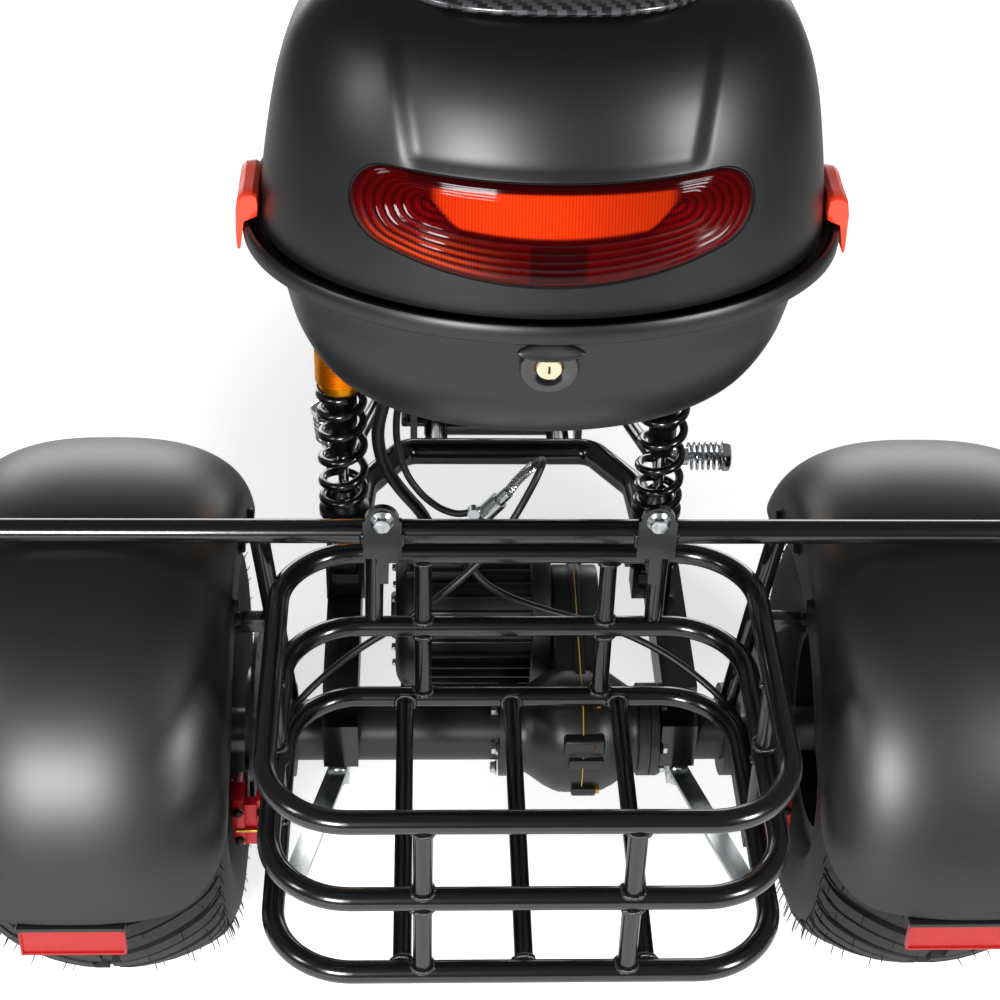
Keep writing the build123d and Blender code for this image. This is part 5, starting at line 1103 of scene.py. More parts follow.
half_bulge = [(14, 62), (24, 60), (34, 55), (44, 48), (52, 42.5), (57, 42), (58, 44.5), (59, 46), (69, 46),
              (70, 45), (70, 0.2)]
bulge = [(-x, r) for x, r in half_bulge[::-1]] + half_bulge
parts = [turned(bulge, at(68, 0, wheel_z), RIGHT, 96), prism(case_outline(0), 47, 95, 3.0),
         prism(case_outline(3.5), seam_x - 5, seam_x - 0.4, 1.0),
         prism(case_outline(3.5), seam_x + 0.4, seam_x + 5, 1.0),
         slab((49, -18, 158), (86, 18, 182), 2.5, 3), slab((51, -60, 249), (91, -38, 268), 4.0, 3),
         slab((56, -64, 236), (90, -44, 247), 2.0), slab((60, -64, 199), (84, -40, 209), 2.0),
         turned([(-7, 0.2), (-7, 12), (0, 12), (1.5, 10.5), (1.5, 0.2)], at(71, -54, 258),
                (0, -0.75, 0.66), 24)]
for a in (radians(20 + 45 * k) for k in range(8)):
    rib = [polar(r, a + t) for r, t in ((40, -0.05), (40, 0.05), (56, 0.035), (56, -0.035))]
    parts.append(prism([(y, wheel_z + z) for y, z in rib], 36, 100, 1.0))
shaped("gear_casing", parts, cast, "cast_black", "differential")
parts = [rod(0.5, 63.4, at(seam_x, 0, wheel_z), RIGHT, 96),
         prism(case_outline(4.2), seam_x - 0.45, seam_x + 0.45, 0.15),
         slab((69.5, -18.4, 157.6), (70.5, 18.4, 178), 0.2)]
shaped("casing_gasket", parts, gasket_ochre, "cast_black")
bolts("drive_case_bolts", [(seam_x + 5, y, z, RIGHT) for y, z in case_outline(0.5)[2:46:5]], 4.6, 5.0, 6.2,
      material=passivated, slot="gold_anodised")

# ---- Drive motor ----
# Brushless motor lying across the vehicle: an extruded body with cooling fins along its
# length, cast end bells held by screws, and a terminal cap where the cable goes in.
verts, faces = prism([(-1.5, 64), (-1.1, 74.6), (1.1, 74.6), (1.5, 64)], -58, 62, 0.5)
grow("motor_fins", ([v - at(0, 0, 0) for v in verts], faces), ring_tree, cast, "cast_black", Count=30,
     Centre=at(-36, motor_y, motor_z))
barrel_form = [(-118, 0.2), (-118, 22), (-116.5, 24), (-113, 25), (-113, 58), (-112, 63), (-109, 69),
               (-104, 73.5), (-98, 75.5), (-92, 75.8), (-90, 74), (-90, 67), (24, 67), (24, 74),
               (26, 75.8), (40, 75.8), (44, 74), (45.5, 71), (45.5, 0.2)]
parts = [turned(barrel_form, at(0, motor_y, motor_z), RIGHT, 96),
         slab((-104, 122, 316), (-38, 174, 331), 3.0, 3), slab((-98, 126, 329), (-44, 170, 339), 3.5, 3)]
parts += [slab((-108, y - 9, 182), (36, y + 9, 200), 3.0, 3) for y in (104, 192)]
parts += [rod(9, 7.5, at(-96, motor_y + y, motor_z + z), RIGHT, 20)
          for y, z in (polar(69, radians(30 + 60 * k)) for k in range(6))]
shaped("motor_body", parts, cast, "cast_black", "drive_motor")
gland_nut = [(-1, 6.6), (-1, 12), (6, 12), (6, 10.5), (8, 10.5), (16, 9.6), (19, 8.2), (19, 6.6)]
gland_sleeve = [(0, 6.5), (0, 8.0), (24, 7.8), (26, 6.8), (26, 6.5)]
shaped("cable_gland", [turned(form, at(-71.5, 147.5, 339), (-0.06, -0.04, 1), sides)
                       for form, sides in ((gland_nut, 6), (gland_sleeve, 24))], glossy_abs, "cast_black")
bell_ring = [polar(50, radians(60 * k)) for k in range(6)]
bolts("motor_screws", [(-113, motor_y + y, motor_z + z, LEFT) for y, z in bell_ring], 4.0, 3.5, 5.0, 1.0)
bolts("terminal_screws", [(x, y, 338.5, UP) for x in (-93, -49) for y in (131, 165)], 2.6, 2.2, 3.2, 0.7)

# ---- Controller ----
# The motor controller is an extruded aluminium case, ribbed to shed heat and anodised
# black, with end plates held by screws.
anodised_black = coat("black_anodised_aluminium", "#1A1B1E", 1.2, 0.015, Metallic=0.6, Roughness=0.36)
parts = [slab((-72, 193, 620), (72, 307, 681.5), 2.5, 3), slab((-75, 190, 613), (75, 195, 681.8), 1.5),
         slab((-75, 305, 613), (75, 310, 681.8), 1.5)]
parts += [slab((x - 1.3, 195, 612.4), (x + 1.3, 305, 621), 0.5, 1)
          for x in (-68 + 136 * k / 14 for k in range(15))]
parts += [slab((side * 73.2 - 1.6, 195, z), (side * 73.2 + 1.6, 305, z + 2.2), 0.4, 1)
          for side in SIDES for z in range(630, 667, 12)]
shaped("controller_case", parts, anodised_black, "cast_black", "controller_box")
controller_seats = [(x, y, z, way)
                    for y, way in ((190.5, BACK), (309.5, AHEAD)) for x in (-66, 66) for z in (622, 672)]
bolts("controller_screws", controller_seats, 3.2, 2.4, 4.2, 0.8)


# ---- Footpegs ----
# Chromed folding pegs: a round spindle in a coil of hard wire that grips the boot sole, a
# domed disc on the end, and a flat tongue on the hinge pin. The left one is parked up.
def peg(side, hinge=184.0, peg_y=332.0, peg_z=324.0):
    """The tongue and spindle, and the wire coil, of one peg."""
    pin = [(-7.4, 0.2), (-7.4, 6.4), (-6.6, 7.0), (6.6, 7.0), (7.4, 6.4), (7.4, 0.2)]
    spindle = [(14, 0.2), (14, 9), (15, 10), (20, 10), (21, 9), (21, 5.2), (58, 5.2), (58, 15), (59, 16.4),
               (64, 16.6), (66, 15.8), (67.4, 13), (68, 8), (68, 0.2)]
    place = at(hinge, peg_y, peg_z)
    path = []
    for i in range(133):
        dy, dz = polar(14.2, tau * i / 22)
        path.append(at(hinge + 21 + 37 * i / 132, peg_y + dy, peg_z + dz))
    verts, faces = joined([slab((hinge - 1, 324.5, 318), (hinge + 18, 339.5, 330), 2.0),
                           turned(pin, place, AHEAD, 28), turned(spindle, place, RIGHT, 40),
                           tube(path, 0.0014, 8)])
    fold = radians(85.0 if side < 0 else 0.0)
    moved = []
    for v in verts:
        dx, dz = side * (v[0] - place.x), v[2] - place.z
        x, z = dx * cos(fold) + dz * sin(fold), dz * cos(fold) - dx * sin(fold)
        moved.append((side * place.x + x, v[1], place.z + z))
    return moved, faces


for side, name in ((-1, "left"), (1, "right")):
    shaped(name + "_peg", [peg(side)], chrome, "chrome", "footpeg_" + name, name + "_footpeg")

# ---- Rear reflectors ----
# Moulded red reflectors with a smooth border and a field of small prisms, screwed to the
# plates under the fender tips below a black plastic strip.
reflex = coat("moulded_red_reflector", "#B8201C", 3.0, 0.03, tones=("#8C1213", "#A81E1C"), Roughness=0.3)
low_z, high_z, back_y, half, border = 232.0, 262.5, -288.5, 46.0, 2.4
prism_columns, prism_rows = 28, 7
wide, tall = (2 * half - 5) / prism_columns, (high_z - low_z - 5) / prism_rows


def prism_field(x):
    """Small four-sided pyramids in rows."""
    verts, faces = [], []
    for i in range(prism_columns):
        for j in range(prism_rows):
            cx, cz, k = x - half + 2.5 + wide * (i + 0.5), low_z + 2.5 + tall * (j + 0.5), len(verts)
            verts += [at(cx + sx * wide / 2, back_y + 2.6, cz + sz * tall / 2) for sx, sz in
                      ((-1, -1), (1, -1), (1, 1), (-1, 1))] + [at(cx, back_y + 2.2, cz)]
            faces += [(k, k + 1, k + 4), (k + 1, k + 2, k + 4), (k + 2, k + 3, k + 4), (k + 3, k, k + 4),
                      (k + 3, k + 2, k + 1, k)]
    return verts, faces


parts, strips = [], []
for x in (left_wheel_x - 8.0, right_wheel_x - 8.0):
    left, right = x - half, x + half
    parts.append(slab((left, back_y + 2.4, low_z), (right, -280.4, high_z), 1.2))
    parts += [slab((a, back_y + 0.4, b), (c, back_y + 4, d), 0.7) for a, b, c, d in (
        (left, low_z, right, low_z + border), (left, high_z - border, right, high_z),
        (left, low_z, left + border, high_z), (right - border, low_z, right, high_z))]
    parts.append(prism_field(x))
    strips.append(slab((left - 1, -289.5, high_z + 0.3), (right + 1, -279.5, high_z + 4.8), 1.2))
shaped("reflector_lenses", parts, reflex, "red_lens", "reflectors", sharp=20.0)
shaped("reflector_strips", strips, polypropylene, "black_plastic")

# ---- Foot deck and battery ----
# A folded steel deck plate under a ribbed rubber mat with a raised edge, held by button
# screws. The battery below it sits in a moulded case with ribs and a round cap at the back.
mat_rubber = coat("ribbed_mat_rubber", "#1B1B1C", 1.0, 0.05, Roughness=0.7, Specular_IOR_Level=0.3)
mat_half, mat_rear, mat_front, mat_edge = 176, 594, 926, 7
mat = [slab((-mat_half, mat_rear, 303.8), (mat_half, mat_front, 306.5), 1.2)]
borders = ((-mat_half, mat_rear, mat_edge - mat_half, mat_front),
           (mat_half - mat_edge, mat_rear, mat_half, mat_front),
           (-mat_half, mat_rear, mat_half, mat_rear + mat_edge),
           (-mat_half, mat_front - mat_edge, mat_half, mat_front))
mat += [slab((x0, y0, 305), (x1, y1, 310), 1.5) for x0, y0, x1, y1 in borders]
shaped("deck_mat", mat, mat_rubber, "soft_rubber")
row_tree, given = new_tree("row_of_ribs", {"Count": ("Int", 20), "Step": ("Vector", (0.0, 0.01, 0.0))})
line = add(row_tree, "GeometryNodeMeshLine", {"Count": given["Count"], "Offset": given["Step"]},
           mode="OFFSET")
copies = add(row_tree, "GeometryNodeInstanceOnPoints", {"Points": line, "Instance": given["Geometry"]})
close_tree(row_tree, given, copies)
grow("deck_mat_ribs", slab((-164, 606, 305.5), (164, 611, 309.2), 1.4), row_tree, mat_rubber,
     "soft_rubber", Count=28, Step=(0.0, 0.01115, 0.0))
bolts("deck_screws", [(x, y, 309.6, UP) for x in (-172.5, 172.5) for y in range(600, 921, 80)], 3.2, 1.2,
      3.6, 0.5)
charge_cap = [(-1, 0.2), (-1, 15), (3, 15), (4.5, 13.5), (4.5, 0.2)]
case = [slab((-110, 587, 184), (110, 933, 292), 7.0, 4), slab((-112, 585, 276), (112, 935, 300), 3.0, 3),
        slab((-112, 585, 182), (112, 935, 192), 3.0, 3), slab((-30, 583.5, 226), (30, 588, 262), 1.5)]
shaped("battery_housing", case + [turned(charge_cap, at(78, 586.5, 244), BACK, 32)], polypropylene,
       "black_plastic", "battery_case")
side_ribs = [slab((x - 1.6, 606, 190), (x + 1.6, 612, 278), 0.8) for x in (-111.2, 111.2)]
grow("battery_ribs", joined(side_ribs), row_tree, polypropylene, "black_plastic", Count=11,
     Step=(0.0, 0.0305, 0.0))
grow("battery_end_ribs", slab((-92, 584.8, 192), (-86, 588, 276), 0.8), row_tree, polypropylene,
     "black_plastic", Count=4, Step=(0.017, 0.0, 0.0))

# ---- Saddle ----
# Two-step saddle of PU foam under grained vinyl, vacuum formed over a moulded pan, with
# welted seams along the edge, a stitched step and sewn channels across the rider's place.
vinyl, shader = surface("grained_seat_vinyl", "#151516", Roughness=0.5, Specular_IOR_Level=0.45)
pebbles = add(vinyl.node_tree, "ShaderNodeTexVoronoi",
              {"Vector": object_point(vinyl.node_tree), "Scale": 1000.0 / 1.6})
leather = bump(shader, pebbles.outputs["Distance"], 0.00012, 0.8)
bump(shader, noise(vinyl.node_tree, 9.0, 5.0), 0.0003, 0.4, Normal=leather)
pan_plastic = coat("moulded_abs_pan_black", "#141415", 0.9, 0.015, Roughness=0.42)
dress(pan_plastic, "seat_pan")
seat_low, seat_high, seat_y = 694.6, 779.0, 314.0


def narrowing(y):
    """From 0 where the saddle is widest to 1 at its nose."""
    return steep((y - 357.0) / 243.0)


def saddle_line(inset, count=160):
    """The saddle's plan: wide behind, narrow at the nose, as points (x, y) anticlockwise."""
    rows = []
    for i in range(count):
        u, v = (copysign(abs(share) ** 0.52, share) for share in polar(1.0, tau * i / count))
        y = seat_y + v * (286.0 - inset)
        rows.append((u * (152.0 * (1.0 - 0.38 * narrowing(y)) - inset), y))
    return rows


def saddle_top(x, y):
    """Height of the cushion's top face, millimetres."""
    height = seat_high - 3.0 - 24.0 * steep((y - 268.0) / 62.0)
    height -= 7.0 * exp(-((y - 440.0) / 95.0) ** 2)
    height += 6.0 * steep((y - 500.0) / 100.0)
    edge = min(abs(x) / (150.0 - 56.0 * narrowing(y)), 1.0)
    return height - 9.0 * edge**2.6


def skin_height(x, y, share):
    """A height between the pan and the top face."""
    return seat_low + (saddle_top(x, y) - seat_low) * share


# Share of the height, and how far the outline is drawn in, level by level.
cushion_levels = [(0.0, 6.0), (0.03, 2.5), (0.12, 1.2), (0.35, 2.8), (0.6, 2.0), (0.8, 1.6), (0.9, 4.5),
                  (0.96, 9.0), (0.99, 15.0), (1.0, 24.0)]
cap_rings = 26
rows = []
for share, inset in cushion_levels:
    rows.append([at(x, y, skin_height(x, y, share)) for x, y in saddle_line(inset)])
for k in range(1, cap_rings + 1):
    shrink = 1.0 - k / cap_rings
    places = [(x * shrink, seat_y + (y - seat_y) * (0.12 + 0.88 * shrink)) for x, y in saddle_line(inset)]
    rows.append([at(x, y, saddle_top(x, y)) for x, y in places])
verts, faces = closed_rows(rows, capped=False)
faces.append(tuple(reversed(range(len(rows[0])))))
foam = outward(mesh_of("saddle_cushion", verts, faces), 1e-5)


def settled(thing):
    """A new mesh of an object with its modifiers, which are then taken off."""
    made = bpy.data.meshes.new_from_object(thing.evaluated_get(bpy.context.evaluated_depsgraph_get()))
    thing.modifiers.clear()
    return made


def blown_up(foam, shrink=(0.955, 0.975, 0.86), most=0.024, slack=0.004, clearance=0.0002):
    """The cushion as cloth under pressure: shrunk, held at its foot, its bulge limited and smoothed."""
    padding = linked("padding", foam)
    middle = at(0, seat_y, 735)
    for vert in foam.vertices:
        vert.co = middle + Vector([(vert.co[k] - middle[k]) * shrink[k] for k in range(3)])
    even = padding.modifiers.new("even", "REMESH")
    even.mode = "VOXEL"
    even.voxel_size = 0.0055
    padding.data = settled(padding)
    rest = [v.co.copy() for v in padding.data.vertices]
    held = padding.vertex_groups.new(name="held")
    held.add([i for i, place in enumerate(rest) if place.z < seat_low / 1000 + 0.016], 1.0, "REPLACE")
    blow = padding.modifiers.new("blow", "CLOTH")
    blow.settings.quality = 6
    blow.settings.use_pressure = True
    blow.settings.uniform_pressure_force = 4.0
    blow.settings.effector_weights.gravity = 0.0
    blow.settings.vertex_group_mass = "held"
    blow.collision_settings.use_collision = False
    blow.point_cache.frame_start, blow.point_cache.frame_end = 1, 20
    for step in range(1, 21):
        scene.frame_set(step)
    blown = settled(padding)
    scene.frame_set(1)
    low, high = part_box("rider_seat")
    moves = []
    for vert, start in zip(blown.vertices, rest):
        move = vert.co - start
        if move.length > most:
            move *= most / move.length
        spot = start + move
        moves.append(Vector([min(max(spot[k], low[k] - slack), high[k] + slack) for k in range(3)]) - start)
    for _ in range(30):
        sums, counts = [move * 2.0 for move in moves], [2.0] * len(moves)
        for a, b in (edge.vertices for edge in blown.edges):
            sums[a] += moves[b]
            sums[b] += moves[a]
            counts[a] += 1.0
            counts[b] += 1.0
        moves = [total / count for total, count in zip(sums, counts)]
    for vert, start, move in zip(blown.vertices, rest, moves):
        spot = start + move
        spot.z = max(spot.z, low.z + clearance)
        vert.co = spot
    padding.data = blown
    smooth = padding.modifiers.new("smooth", "SUBSURF")
    smooth.levels = smooth.render_levels = 1
    made = settled(padding)
    bpy.data.objects.remove(padding)
    return made


foam = blown_up(foam)
cushion = finished("saddle_cushion", outward(foam, 2e-6), vinyl, "seat_vinyl", "rider_seat", sharp=60.0)
form = bmesh.new()
form.from_mesh(foam)
skin_tree = BVHTree.FromBMesh(form)
form.free()


def on_saddle(x, y, z=None, lift=0.0):
    """A point on the cushion's skin: under a place (x, y), or straight in from (x, y, z) beside it."""
    start, way = at(x, y, 860 if z is None else z), Vector((0, 0, -1))
    if z is not None:
        way = (at(0, seat_y + (y - seat_y) * 0.55, z) - start).normalized()
    spot, normal, _, _ = skin_tree.ray_cast(start, way)
    return None if spot is None else spot + normal * lift


def across_saddle(u, y, half, lift):
    """A point of a seam that bows forward, at u from -1 to 1 across the saddle."""
    return on_saddle(half * u, y + 16.0 * (1 - u * u), lift=lift)


def half_width(y, share):
    """A share of the saddle's half width."""
    return (140.0 - 54.0 * narrowing(y)) * share


welts = []
for share, thick in ((0.80, 0.0026), (0.10, 0.0022)):
    path = [on_saddle(x, y, skin_height(x, y, share), -0.0004) for x, y in saddle_line(-14.0, 120)]
    welts.append(tube([spot for spot in path if spot], thick, 8, closed=True))
for y in (250.0, 268.0, 365.0, 405.0, 445.0, 485.0):
    path = [across_saddle(i / 20 - 1, y, half_width(y, 0.93), -0.0006) for i in range(41)]
    welts.append(tube([spot for spot in path if spot], 0.0016 if y > 300 else 0.0021, 8))
welt_vinyl = coat("welt_cord_vinyl", "#0F0F10", 1.4, 0.04, Roughness=0.42)
shaped("saddle_welts", welts, welt_vinyl, "seat_vinyl")
stitches = []
for y in (259.0, 375.0, 415.0, 455.0):
    half = half_width(y, 0.9)
    count = int(half * 2 / 5.5)
    for i in range(count):
        ends = [across_saddle((i + shift) / count * 2 - 1, y, half, lift)
                for shift, lift in ((0.12, 0.0001), (0.5, 0.0007), (0.88, 0.0001))]
        if all(ends):
            stitches.append(tube(ends, 0.00055, 5))
thread = coat("bonded_polyester_thread", "#3A3B3D", 0.6, 0.05, Roughness=0.6)
shaped("saddle_stitches", stitches, thread, "seat_vinyl")

# ---- Fork ----
# Upright telescopic fork: hard chromed tubes in cast sliders with dust seals, clamped in
# two cast bridges. The head turns about the raked stem with everything above the wheel.
rake, trail, leg_x = radians(26.0), 30.0, 160
stem_up, stem_ahead = Vector((0, -sin(rake), cos(rake))), Vector((0, cos(rake), sin(rake)))


def on_fork(x, ahead, up):
    """The place, in metres, of a point given across, ahead of and up along the steering axis."""
    stem = at(x, front_wheel_y - trail * cos(rake), wheel_z - trail * sin(rake))
    return stem + (stem_ahead * ahead + stem_up * up) / 1000


def fork_seat(x, ahead, up, facing):
    """A bolt's seat at a place on the fork."""
    place = (on_fork(x, ahead, up) - at(0, 0, 0)) * 1000
    return *place, tuple(facing)


def on_legs(profile, sides=48):
    """A turned shape on each fork leg."""
    return [turned(profile, on_fork(side * leg_x, trail, 0), stem_up, sides) for side in SIDES]


slider = [(-32, 0.2), (-32, 17), (-30, 20), (-26, 23), (-20, 24.8), (18, 24.8), (24, 22.5), (150, 22.5),
          (158, 24), (226, 24), (236, 25), (240, 24.4), (240, 18.4)]
tube_cap = [(672, 0.2), (672, 15), (674, 17), (678, 17), (680, 15), (680, 6), (676, 5), (676, 0.2)]
dust_seal = [(239, 18.2), (239, 23.5), (243, 24.6), (250, 24), (256, 21), (262, 19.4), (263, 18.3)]
shaped("fork_sliders", on_legs(slider), cast, "cast_black", "fork_legs", "steering")
shaped("fork_tubes", on_legs([(196, 0.2), (196, 18), (672, 18), (672, 0.2)]) + on_legs(tube_cap, 6),
       chrome, "chrome", body="steering")
shaped("fork_seals", on_legs(dust_seal) + on_legs([(380, 18.2), (380, 20.5), (390, 20.5), (390, 18.2)]),
       mat_rubber, "soft_rubber", body="steering")
clamp_seats = [fork_seat(side * leg_x + shift, -17, up, -stem_ahead)
               for side in SIDES for up in (435, 655) for shift in (-26, 26)]
bolts("clamp_bolts", clamp_seats, 4.6, 5.0, 6.4, 1.2, "steering")
bolts("stem_nut", [fork_seat(0, 0, 668, stem_up)], 15.0, 9.0, 18.0, 2.5, "steering")
axle_seats = [(side * 191.0, front_wheel_y, wheel_z, (side, 0, 0)) for side in SIDES]
bolts("front_axle_nuts", axle_seats, 10.0, 9.0, 14.0, 2.0, "steering")
mudguard_seats = [fork_seat(side * 128.5, trail, up, (-side, 0, 0)) for side in SIDES for up in (185, 222)]
bolts("front_fender_bolts", mudguard_seats, 4.6, 4.0, 6.5, 1.2, "steering")

# ---- Front caliper ----
# The same red anodised two-piece caliper on an arm of the left slider, with steel pins.
front_cheek = [(-103, -22), (-96, -26), (-74, -26), (-65, -20), (-64, 16), (-70, 25), (-96, 26), (-103, 20)]
front_bridge = [(-103, -20), (-97, -20), (-97, 20), (-103, 20)]
arm = [(-74, -14), (-22, -12), (-19, 12), (-74, 14)]
parts = []
for outline, x0, x1, bevel in ((front_cheek, -131, -117.2, 1.5), (front_cheek, -106.8, -101, 1.5),
                               (front_bridge, -119, -105, 0.8), (arm, -146, -129, 2.0)):
    parts.append(prism([(front_wheel_y + y, wheel_z + z) for y, z in outline], x0, x1, bevel))
parts += [turned([(0, 0.2), (0, 10), (3, 10), (4, 9), (4, 0.2)],
                 at(-130.5, front_wheel_y - 84, wheel_z + z), LEFT, 32) for z in (-9, 13)]
shaped("front_caliper_body", parts, anodised_red, "red_metal", "front_caliper", "steering")
bolts("front_caliper_bolts", [(-146, front_wheel_y - 62, wheel_z + z, LEFT) for z in (-8, 8)], 4.4, 4.0,
      5.6, 1.0, "steering", blackened, "cast_black")


# ---- Grips, levers and switches ----
# Moulded rubber grips with raised rings and end flanges, forged levers on clamped
# perches, and switch blocks with small round buttons.
def grip_spot(side, along, ahead=0.0, up=0.0):
    """A place along a grip, measured from the bar end inward."""
    end, inner = on_fork(side * 380, -128, 870), on_fork(side * 210, -46, 894)
    return end + (inner - end).normalized() * along / 1000 + (stem_ahead * ahead + stem_up * up) / 1000


def on_grip(profile, side, sides):
    """A shape turned round the bar end."""
    way = (grip_spot(side, 10) - grip_spot(side, 0)).normalized()
    return turned(profile, grip_spot(side, 0), way, sides)


def lever(side):
    """A lever's blade from its pivot to the ball at its tip."""
    path, sizes = [], []
    for i in range(25):
        t = i / 24
        path.append(grip_spot(side, 147 - 133 * t, 36 + 22 * sin(pi * t * 0.78) ** 0.9 - 2 * t))
        ball = (0.0012 if i > 21 else 0) + 0.0012 * exp(-((i - 23) / 1.2) ** 2)
        sizes.append(0.0042 + 0.0022 * (1 - t) ** 3 + ball)
    return tube(path, sizes, 14)


def perch(side):
    """A lever's clamp on the bar, its two arms, and the pivot with its nut."""
    clamp = [(129, 11.3), (129, 17), (131, 18.4), (160, 18.4), (162, 17), (162, 11.3)]
    arms = [[grip_spot(side, 147, 12 + 24 * t, up * (1 - 0.1 * t)) for t in (0, 0.5, 1)] for up in (-7, 7)]
    pivot = [(-11, 0.2), (-11, 7.5), (-9.5, 8.6), (9.5, 8.6), (11, 7.5), (11, 0.2)]
    nut = [(-5, 0.2), (-5, 5.5), (5, 5.5), (6, 4.5), (6, 0.2)]
    return [on_grip(clamp, side, 40), *[tube(arm, [0.0075, 0.0068, 0.0064], 16) for arm in arms],
            turned(pivot, grip_spot(side, 147, 36), stem_up, 28),
            turned(nut, grip_spot(side, 147, 36, 11), stem_up, 6)]


grip_rubber = coat("moulded_grip_rubber", "#141414", 1.0, 0.06, Roughness=0.65, Specular_IOR_Level=0.3)
profile = [(-3, 0.2), (-3, 13), (-2, 15.4), (1, 16.2), (3, 15.6), (4, 13.8)]
for z in (8 + 6.0 * k for k in range(18)):
    profile += [(z, 13.6), (z + 0.8, 15.0), (z + 3.2, 15.0), (z + 4.0, 13.6)]
profile += [(117, 13.8), (118.5, 17.5), (122, 18.4), (124, 17.6), (125, 15), (125, 11.3)]
shaped("grips", [on_grip(profile, side, 40) for side in SIDES], grip_rubber, "soft_rubber", "handgrips",
       "steering")
shaped("lever_perches", perch(-1) + perch(1), cast, "cast_black", "brake_levers", "steering")
forged = coat("forged_aluminium_painted_black", "#0E0E0F", 3.0, 0.02, Roughness=0.28, Coat_Weight=0.3,
              Coat_Roughness=0.08)
shaped("lever_blades", [lever(side) for side in SIDES], forged, "cast_black", body="steering")
button_abs = coat("moulded_abs_grey", "#6C6E71", 0.8, 0.01, Roughness=0.4)
start_button = [(12, 5.2), (19.8, 5.2), (20.6, 4.4), (20.6, 0.2)]
horn_button = [(12, 4.2), (19.4, 4.2), (20.0, 3.6), (20.0, 0.2)]
buttons = [turned(form, grip_spot(side, along), -stem_ahead * 0.8 + stem_up, 24) for side in SIDES
           for form, along in ((start_button, 138), (horn_button, 152))]
shaped("switch_buttons", buttons, button_abs, "black_plastic", body="steering")

# ---- Display ----
# Round liquid crystal gauge in a moulded case with a chromed ring: a grey-green screen
# behind glass, with plain bars and ticks and no lettering.
face_up = (stem_up * cos(radians(20)) - stem_ahead * sin(radians(20))).normalized()
gauge_centre = on_fork(0, 6, 926)
gauge_case = [(-11, 0.2), (-11, 34), (-8, 38), (4, 40), (9, 40), (9, 0.2)]
gauge_ring = [(4, 39.5), (5, 41.6), (10, 41.8), (11, 40.5), (11, 36.5), (8.5, 35.5), (8.5, 39.5)]
foot = [on_fork(0, 0, 903), on_fork(0, 3, 912), on_fork(0, 6, 920)]
shaped("gauge_case", [turned(gauge_case, gauge_centre, face_up, 64), tube(foot, [0.015, 0.013, 0.014], 20)],
       polypropylene, "black_plastic", "display", "steering")
shaped("gauge_ring", [turned(gauge_ring, gauge_centre, face_up, 64)], chrome, "chrome", body="steering")
screen = coat("liquid_crystal_screen", "#2B3432", 6.0, 0.01, Roughness=0.12, Coat_Weight=0.6,
              Coat_Roughness=0.03)
screen_disc = [(8.6, 0.2), (9.2, 36.2), (8.4, 36.2), (8.0, 0.2)]
shaped("gauge_screen", [turned(screen_disc, gauge_centre, face_up, 64)], screen, "gloss_black",
       body="steering")
segments = coat("screen_segments", "#B9C6BE", 2.0, 0.01, Roughness=0.3)
across = Vector((1, 0, 0))
down = across.cross(face_up)
mark_height = 9.35
parts = []
for k in range(17):
    a = radians(-140 + 280 * k / 16)
    ray = down * -cos(a) + across * sin(a)
    inner = 29.0 if k % 4 == 0 else 31.5
    path = [gauge_centre + (ray * r + face_up * mark_height) / 1000
            for r in (inner, (inner + 34.0) / 2, 34.0)]
    parts.append(tube(path, 0.0005, 4))
for x in range(-15, 16, 6):
    path = [gauge_centre + (across * (x + s) + down * 14 + face_up * mark_height) / 1000 for s in (-2, 0, 2)]
    parts.append(tube(path, 0.0016, 4))
shaped("gauge_segments", parts, segments, "gloss_black", body="steering")


# ---- Headlight ----
# Round headlight: a spun steel bowl in gloss black on two tubular arms, a chromed ring, a
# polished reflector with the lamp bulb, and a fluted clear lens.
def on_lamp(profile, sides=96):
    """A shape turned about the headlight's axis."""
    return turned(profile, at(0, lamp_y, lamp_z), AHEAD, sides)


lamp_y, lamp_z, glass_radius, glass_bow = 1120.0, 870.0, 83.0, 6.3
lamp_ring = [(38, 87.5), (38, 90), (44, 90.5), (50, 89.5), (53.5, 86), (54, 82), (50, 80.5), (46.5, 84)]
shaped("headlight_ring", [on_lamp(lamp_ring)], chrome, "chrome", body="steering")
mirror_coat = coat("vapour_plated_reflector", "#E4E6E8", 9.0, 0.02, Metallic=1.0, Roughness=0.06)
reflector = [(46.8, 0.2), (46.8, 80.4), (47.0, 81.0), (47.2, 80.4), (46.9, 60), (46.6, 0.2)]
bulb_ring = [(46.9, 17), (48.6, 17), (48.6, 22), (47.9, 23), (46.9, 23)]
shaped("headlight_reflector", [on_lamp(reflector, 72), on_lamp(bulb_ring, 48)], mirror_coat, "chrome",
       body="steering")
lens_glass = coat("fluted_clear_polycarbonate", "#E9EDF0", 12.0, 0.02, Roughness=0.06, IOR=1.58,
                  Transmission_Weight=0.85, Coat_Weight=0.3)
shell = []
for k in range(12, -1, -1):
    r = glass_radius * k / 12
    shell.append((49.0 + glass_bow * (1 - (r / glass_radius) ** 2) + (0.25 if k % 2 else 0), max(r, 0.2)))
shaped("headlight_glass", [on_lamp([(48.6, 0.2), (48.6, 83.2)] + shell)], lens_glass, "clear_lens",
       "headlight_lens", "steering", 60.0)
flutes = []
for x in (11.5 * k for k in range(-6, 7)):
    reach = sqrt(79.0**2 - x * x)
    heights = [reach * (i / 8 - 1) for i in range(17)]
    path = [at(x, lamp_y + 55.2 - glass_bow * ((x * x + z * z) / glass_radius**2), lamp_z + z)
            for z in heights]
    flutes.append(tube(path, 0.0009, 6))
shaped("headlight_flutes", flutes, lens_glass, "clear_lens", body="steering")
bolts("headlight_screws", [(side * 60.0, lamp_y + 44, lamp_z - 62.0, AHEAD) for side in SIDES], 2.8, 2.5,
      3.6, 0.8, "steering")

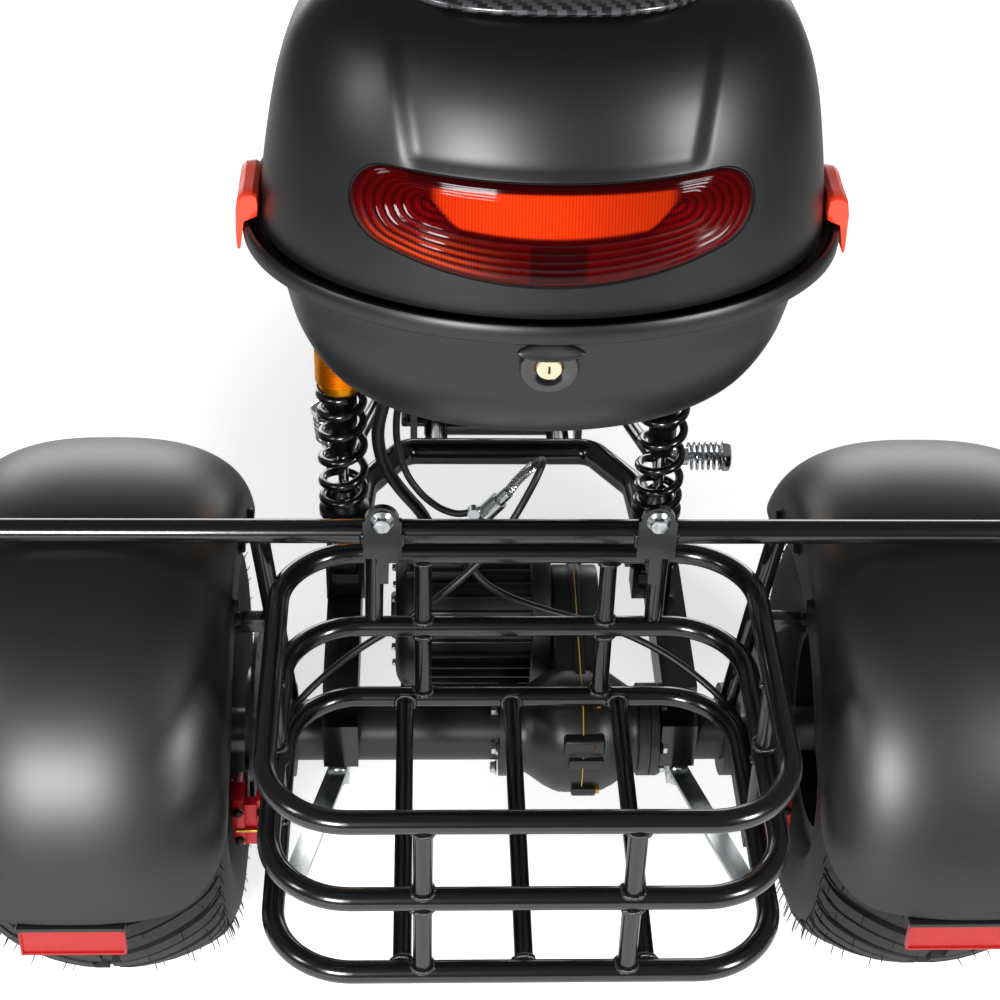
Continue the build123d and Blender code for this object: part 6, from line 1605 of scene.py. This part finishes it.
# ---- Turn signals ----
# Amber polycarbonate domes with fine rings in gloss black cups, each on a short rubber
# stalk beside the headlight.
amber = coat("moulded_amber_polycarbonate", "#D2700E", 4.0, 0.03, Roughness=0.12, Coat_Weight=0.5,
             Subsurface_Weight=0.1)
cup = [(-17, 0.2), (-17, 14), (-14, 19), (-6, 23), (8, 24), (12, 24), (13, 22.5), (13, 0.2)]
dome_radius, dome_bow, ridge = 22.0, 5.2, 1.3
dome = [(9, 0.2), (9, 22)]
for r in (dome_radius - 2 * ridge * k for k in range(9)):
    dome += [(11.5 + dome_bow * (1 - (r / dome_radius) ** 2), max(r, 0.3)),
             (11.9 + dome_bow * (1 - ((r - ridge) / dome_radius) ** 2), max(r - ridge, 0.25))]
cups, domes = [], []
for side in SIDES:
    *stalk, spot = [at(side * x, 1136, 860) for x in (86, 100, 120, 142, 162)]
    cups += [turned(cup, spot, AHEAD), tube(stalk, [0.009, 0.0075, 0.0066, 0.0072], 20)]
    domes.append(turned(dome + [(17, 0.2)], spot, AHEAD, 48))
shaped("signal_cups", cups, glossy_abs, "gloss_black", body="steering")
shaped("signal_domes", domes, amber, "amber_lens", "front_signals", "steering", 20.0)


# ---- Mirrors ----
# Oval rear-view mirrors: moulded black shells with silvered glass set behind a lip, on
# chromed stalks that screw into clamps on the handlebar.
def oval(levels, centre, normal, upward):
    """An oval form 124 by 80 mm, its levels given as (share of its size, depth)."""
    across = upward.cross(normal).normalized()
    rows = []
    for share, depth in levels:
        ring = [polar(share, tau * i / 64) for i in range(64)]
        rows.append([centre + (across * 62 * u + upward * 40 * v + normal * depth) / 1000 for u, v in ring])
    return closed_rows(rows)


def curved(spots, count=24):
    """A smooth path that starts and ends at a list's ends and is drawn towards the places between."""
    path = []
    for t in (i / count for i in range(count + 1)):
        left = spots
        while len(left) > 1:
            left = [a.lerp(b, t) for a, b in zip(left, left[1:])]
        path.append(left[0])
    return path


silvered = coat("silvered_mirror_glass", "#D9DEE2", 30.0, 0.004, Metallic=1.0, Roughness=0.02)
shell = [(0.05, -8), (0.35, -7.8), (0.7, -6.2), (0.9, -2.5), (0.985, 2.0), (1.0, 6.0), (0.995, 8.0),
         (0.97, 8.0), (0.955, 6.4), (0.05, 6.2)]
glass = [(0.05, 6.0), (0.95, 6.0), (0.955, 6.5), (0.94, 6.9), (0.5, 6.95), (0.05, 7.0)]
bar_clamp = [(-13, 11.3), (-13, 15), (-12, 16), (12, 16), (13, 15), (13, 11.3)]
stalk_nut = [(10, 0.2), (10, 9), (26, 9), (28, 7.5), (28, 0.2)]
tilt = radians(90 - 26 * 0.9)
normal = (stem_up * cos(tilt) - stem_ahead * sin(tilt)).normalized()
upward = (stem_ahead * cos(tilt) + stem_up * sin(tilt)).normalized()
shells, glasses, stalks, clamps = [], [], [], []
for side in SIDES:
    base = grip_spot(side, 175)
    bend, elbow, head = (base + (Vector((side * x, 0, 0)) + stem_ahead * ahead + stem_up * up) / 1000
                         for x, ahead, up in ((14, 8, 70), (44, 24, 104), (64, 30, 120)))
    shells.append(oval(shell, head, normal, upward))
    glasses.append(oval(glass, head, normal, upward))
    spots = [base + stem_up * 0.018, base + stem_up * 0.04, bend, elbow, head - normal * 0.004]
    stalks.append(tube(curved(spots), 0.0046, 16))
    way = (grip_spot(side, 10) - grip_spot(side, 0)).normalized()
    clamps += [turned(bar_clamp, base, way, 36), turned(stalk_nut, base, stem_up, 6)]
shaped("mirror_shells", shells, polypropylene, "black_plastic", "mirrors", "steering")
shaped("mirror_glass", glasses, silvered, "chrome", body="steering")
shaped("mirror_stalks", stalks, chrome, "chrome", body="steering")
shaped("mirror_clamps", clamps, cast, "cast_black", body="steering")
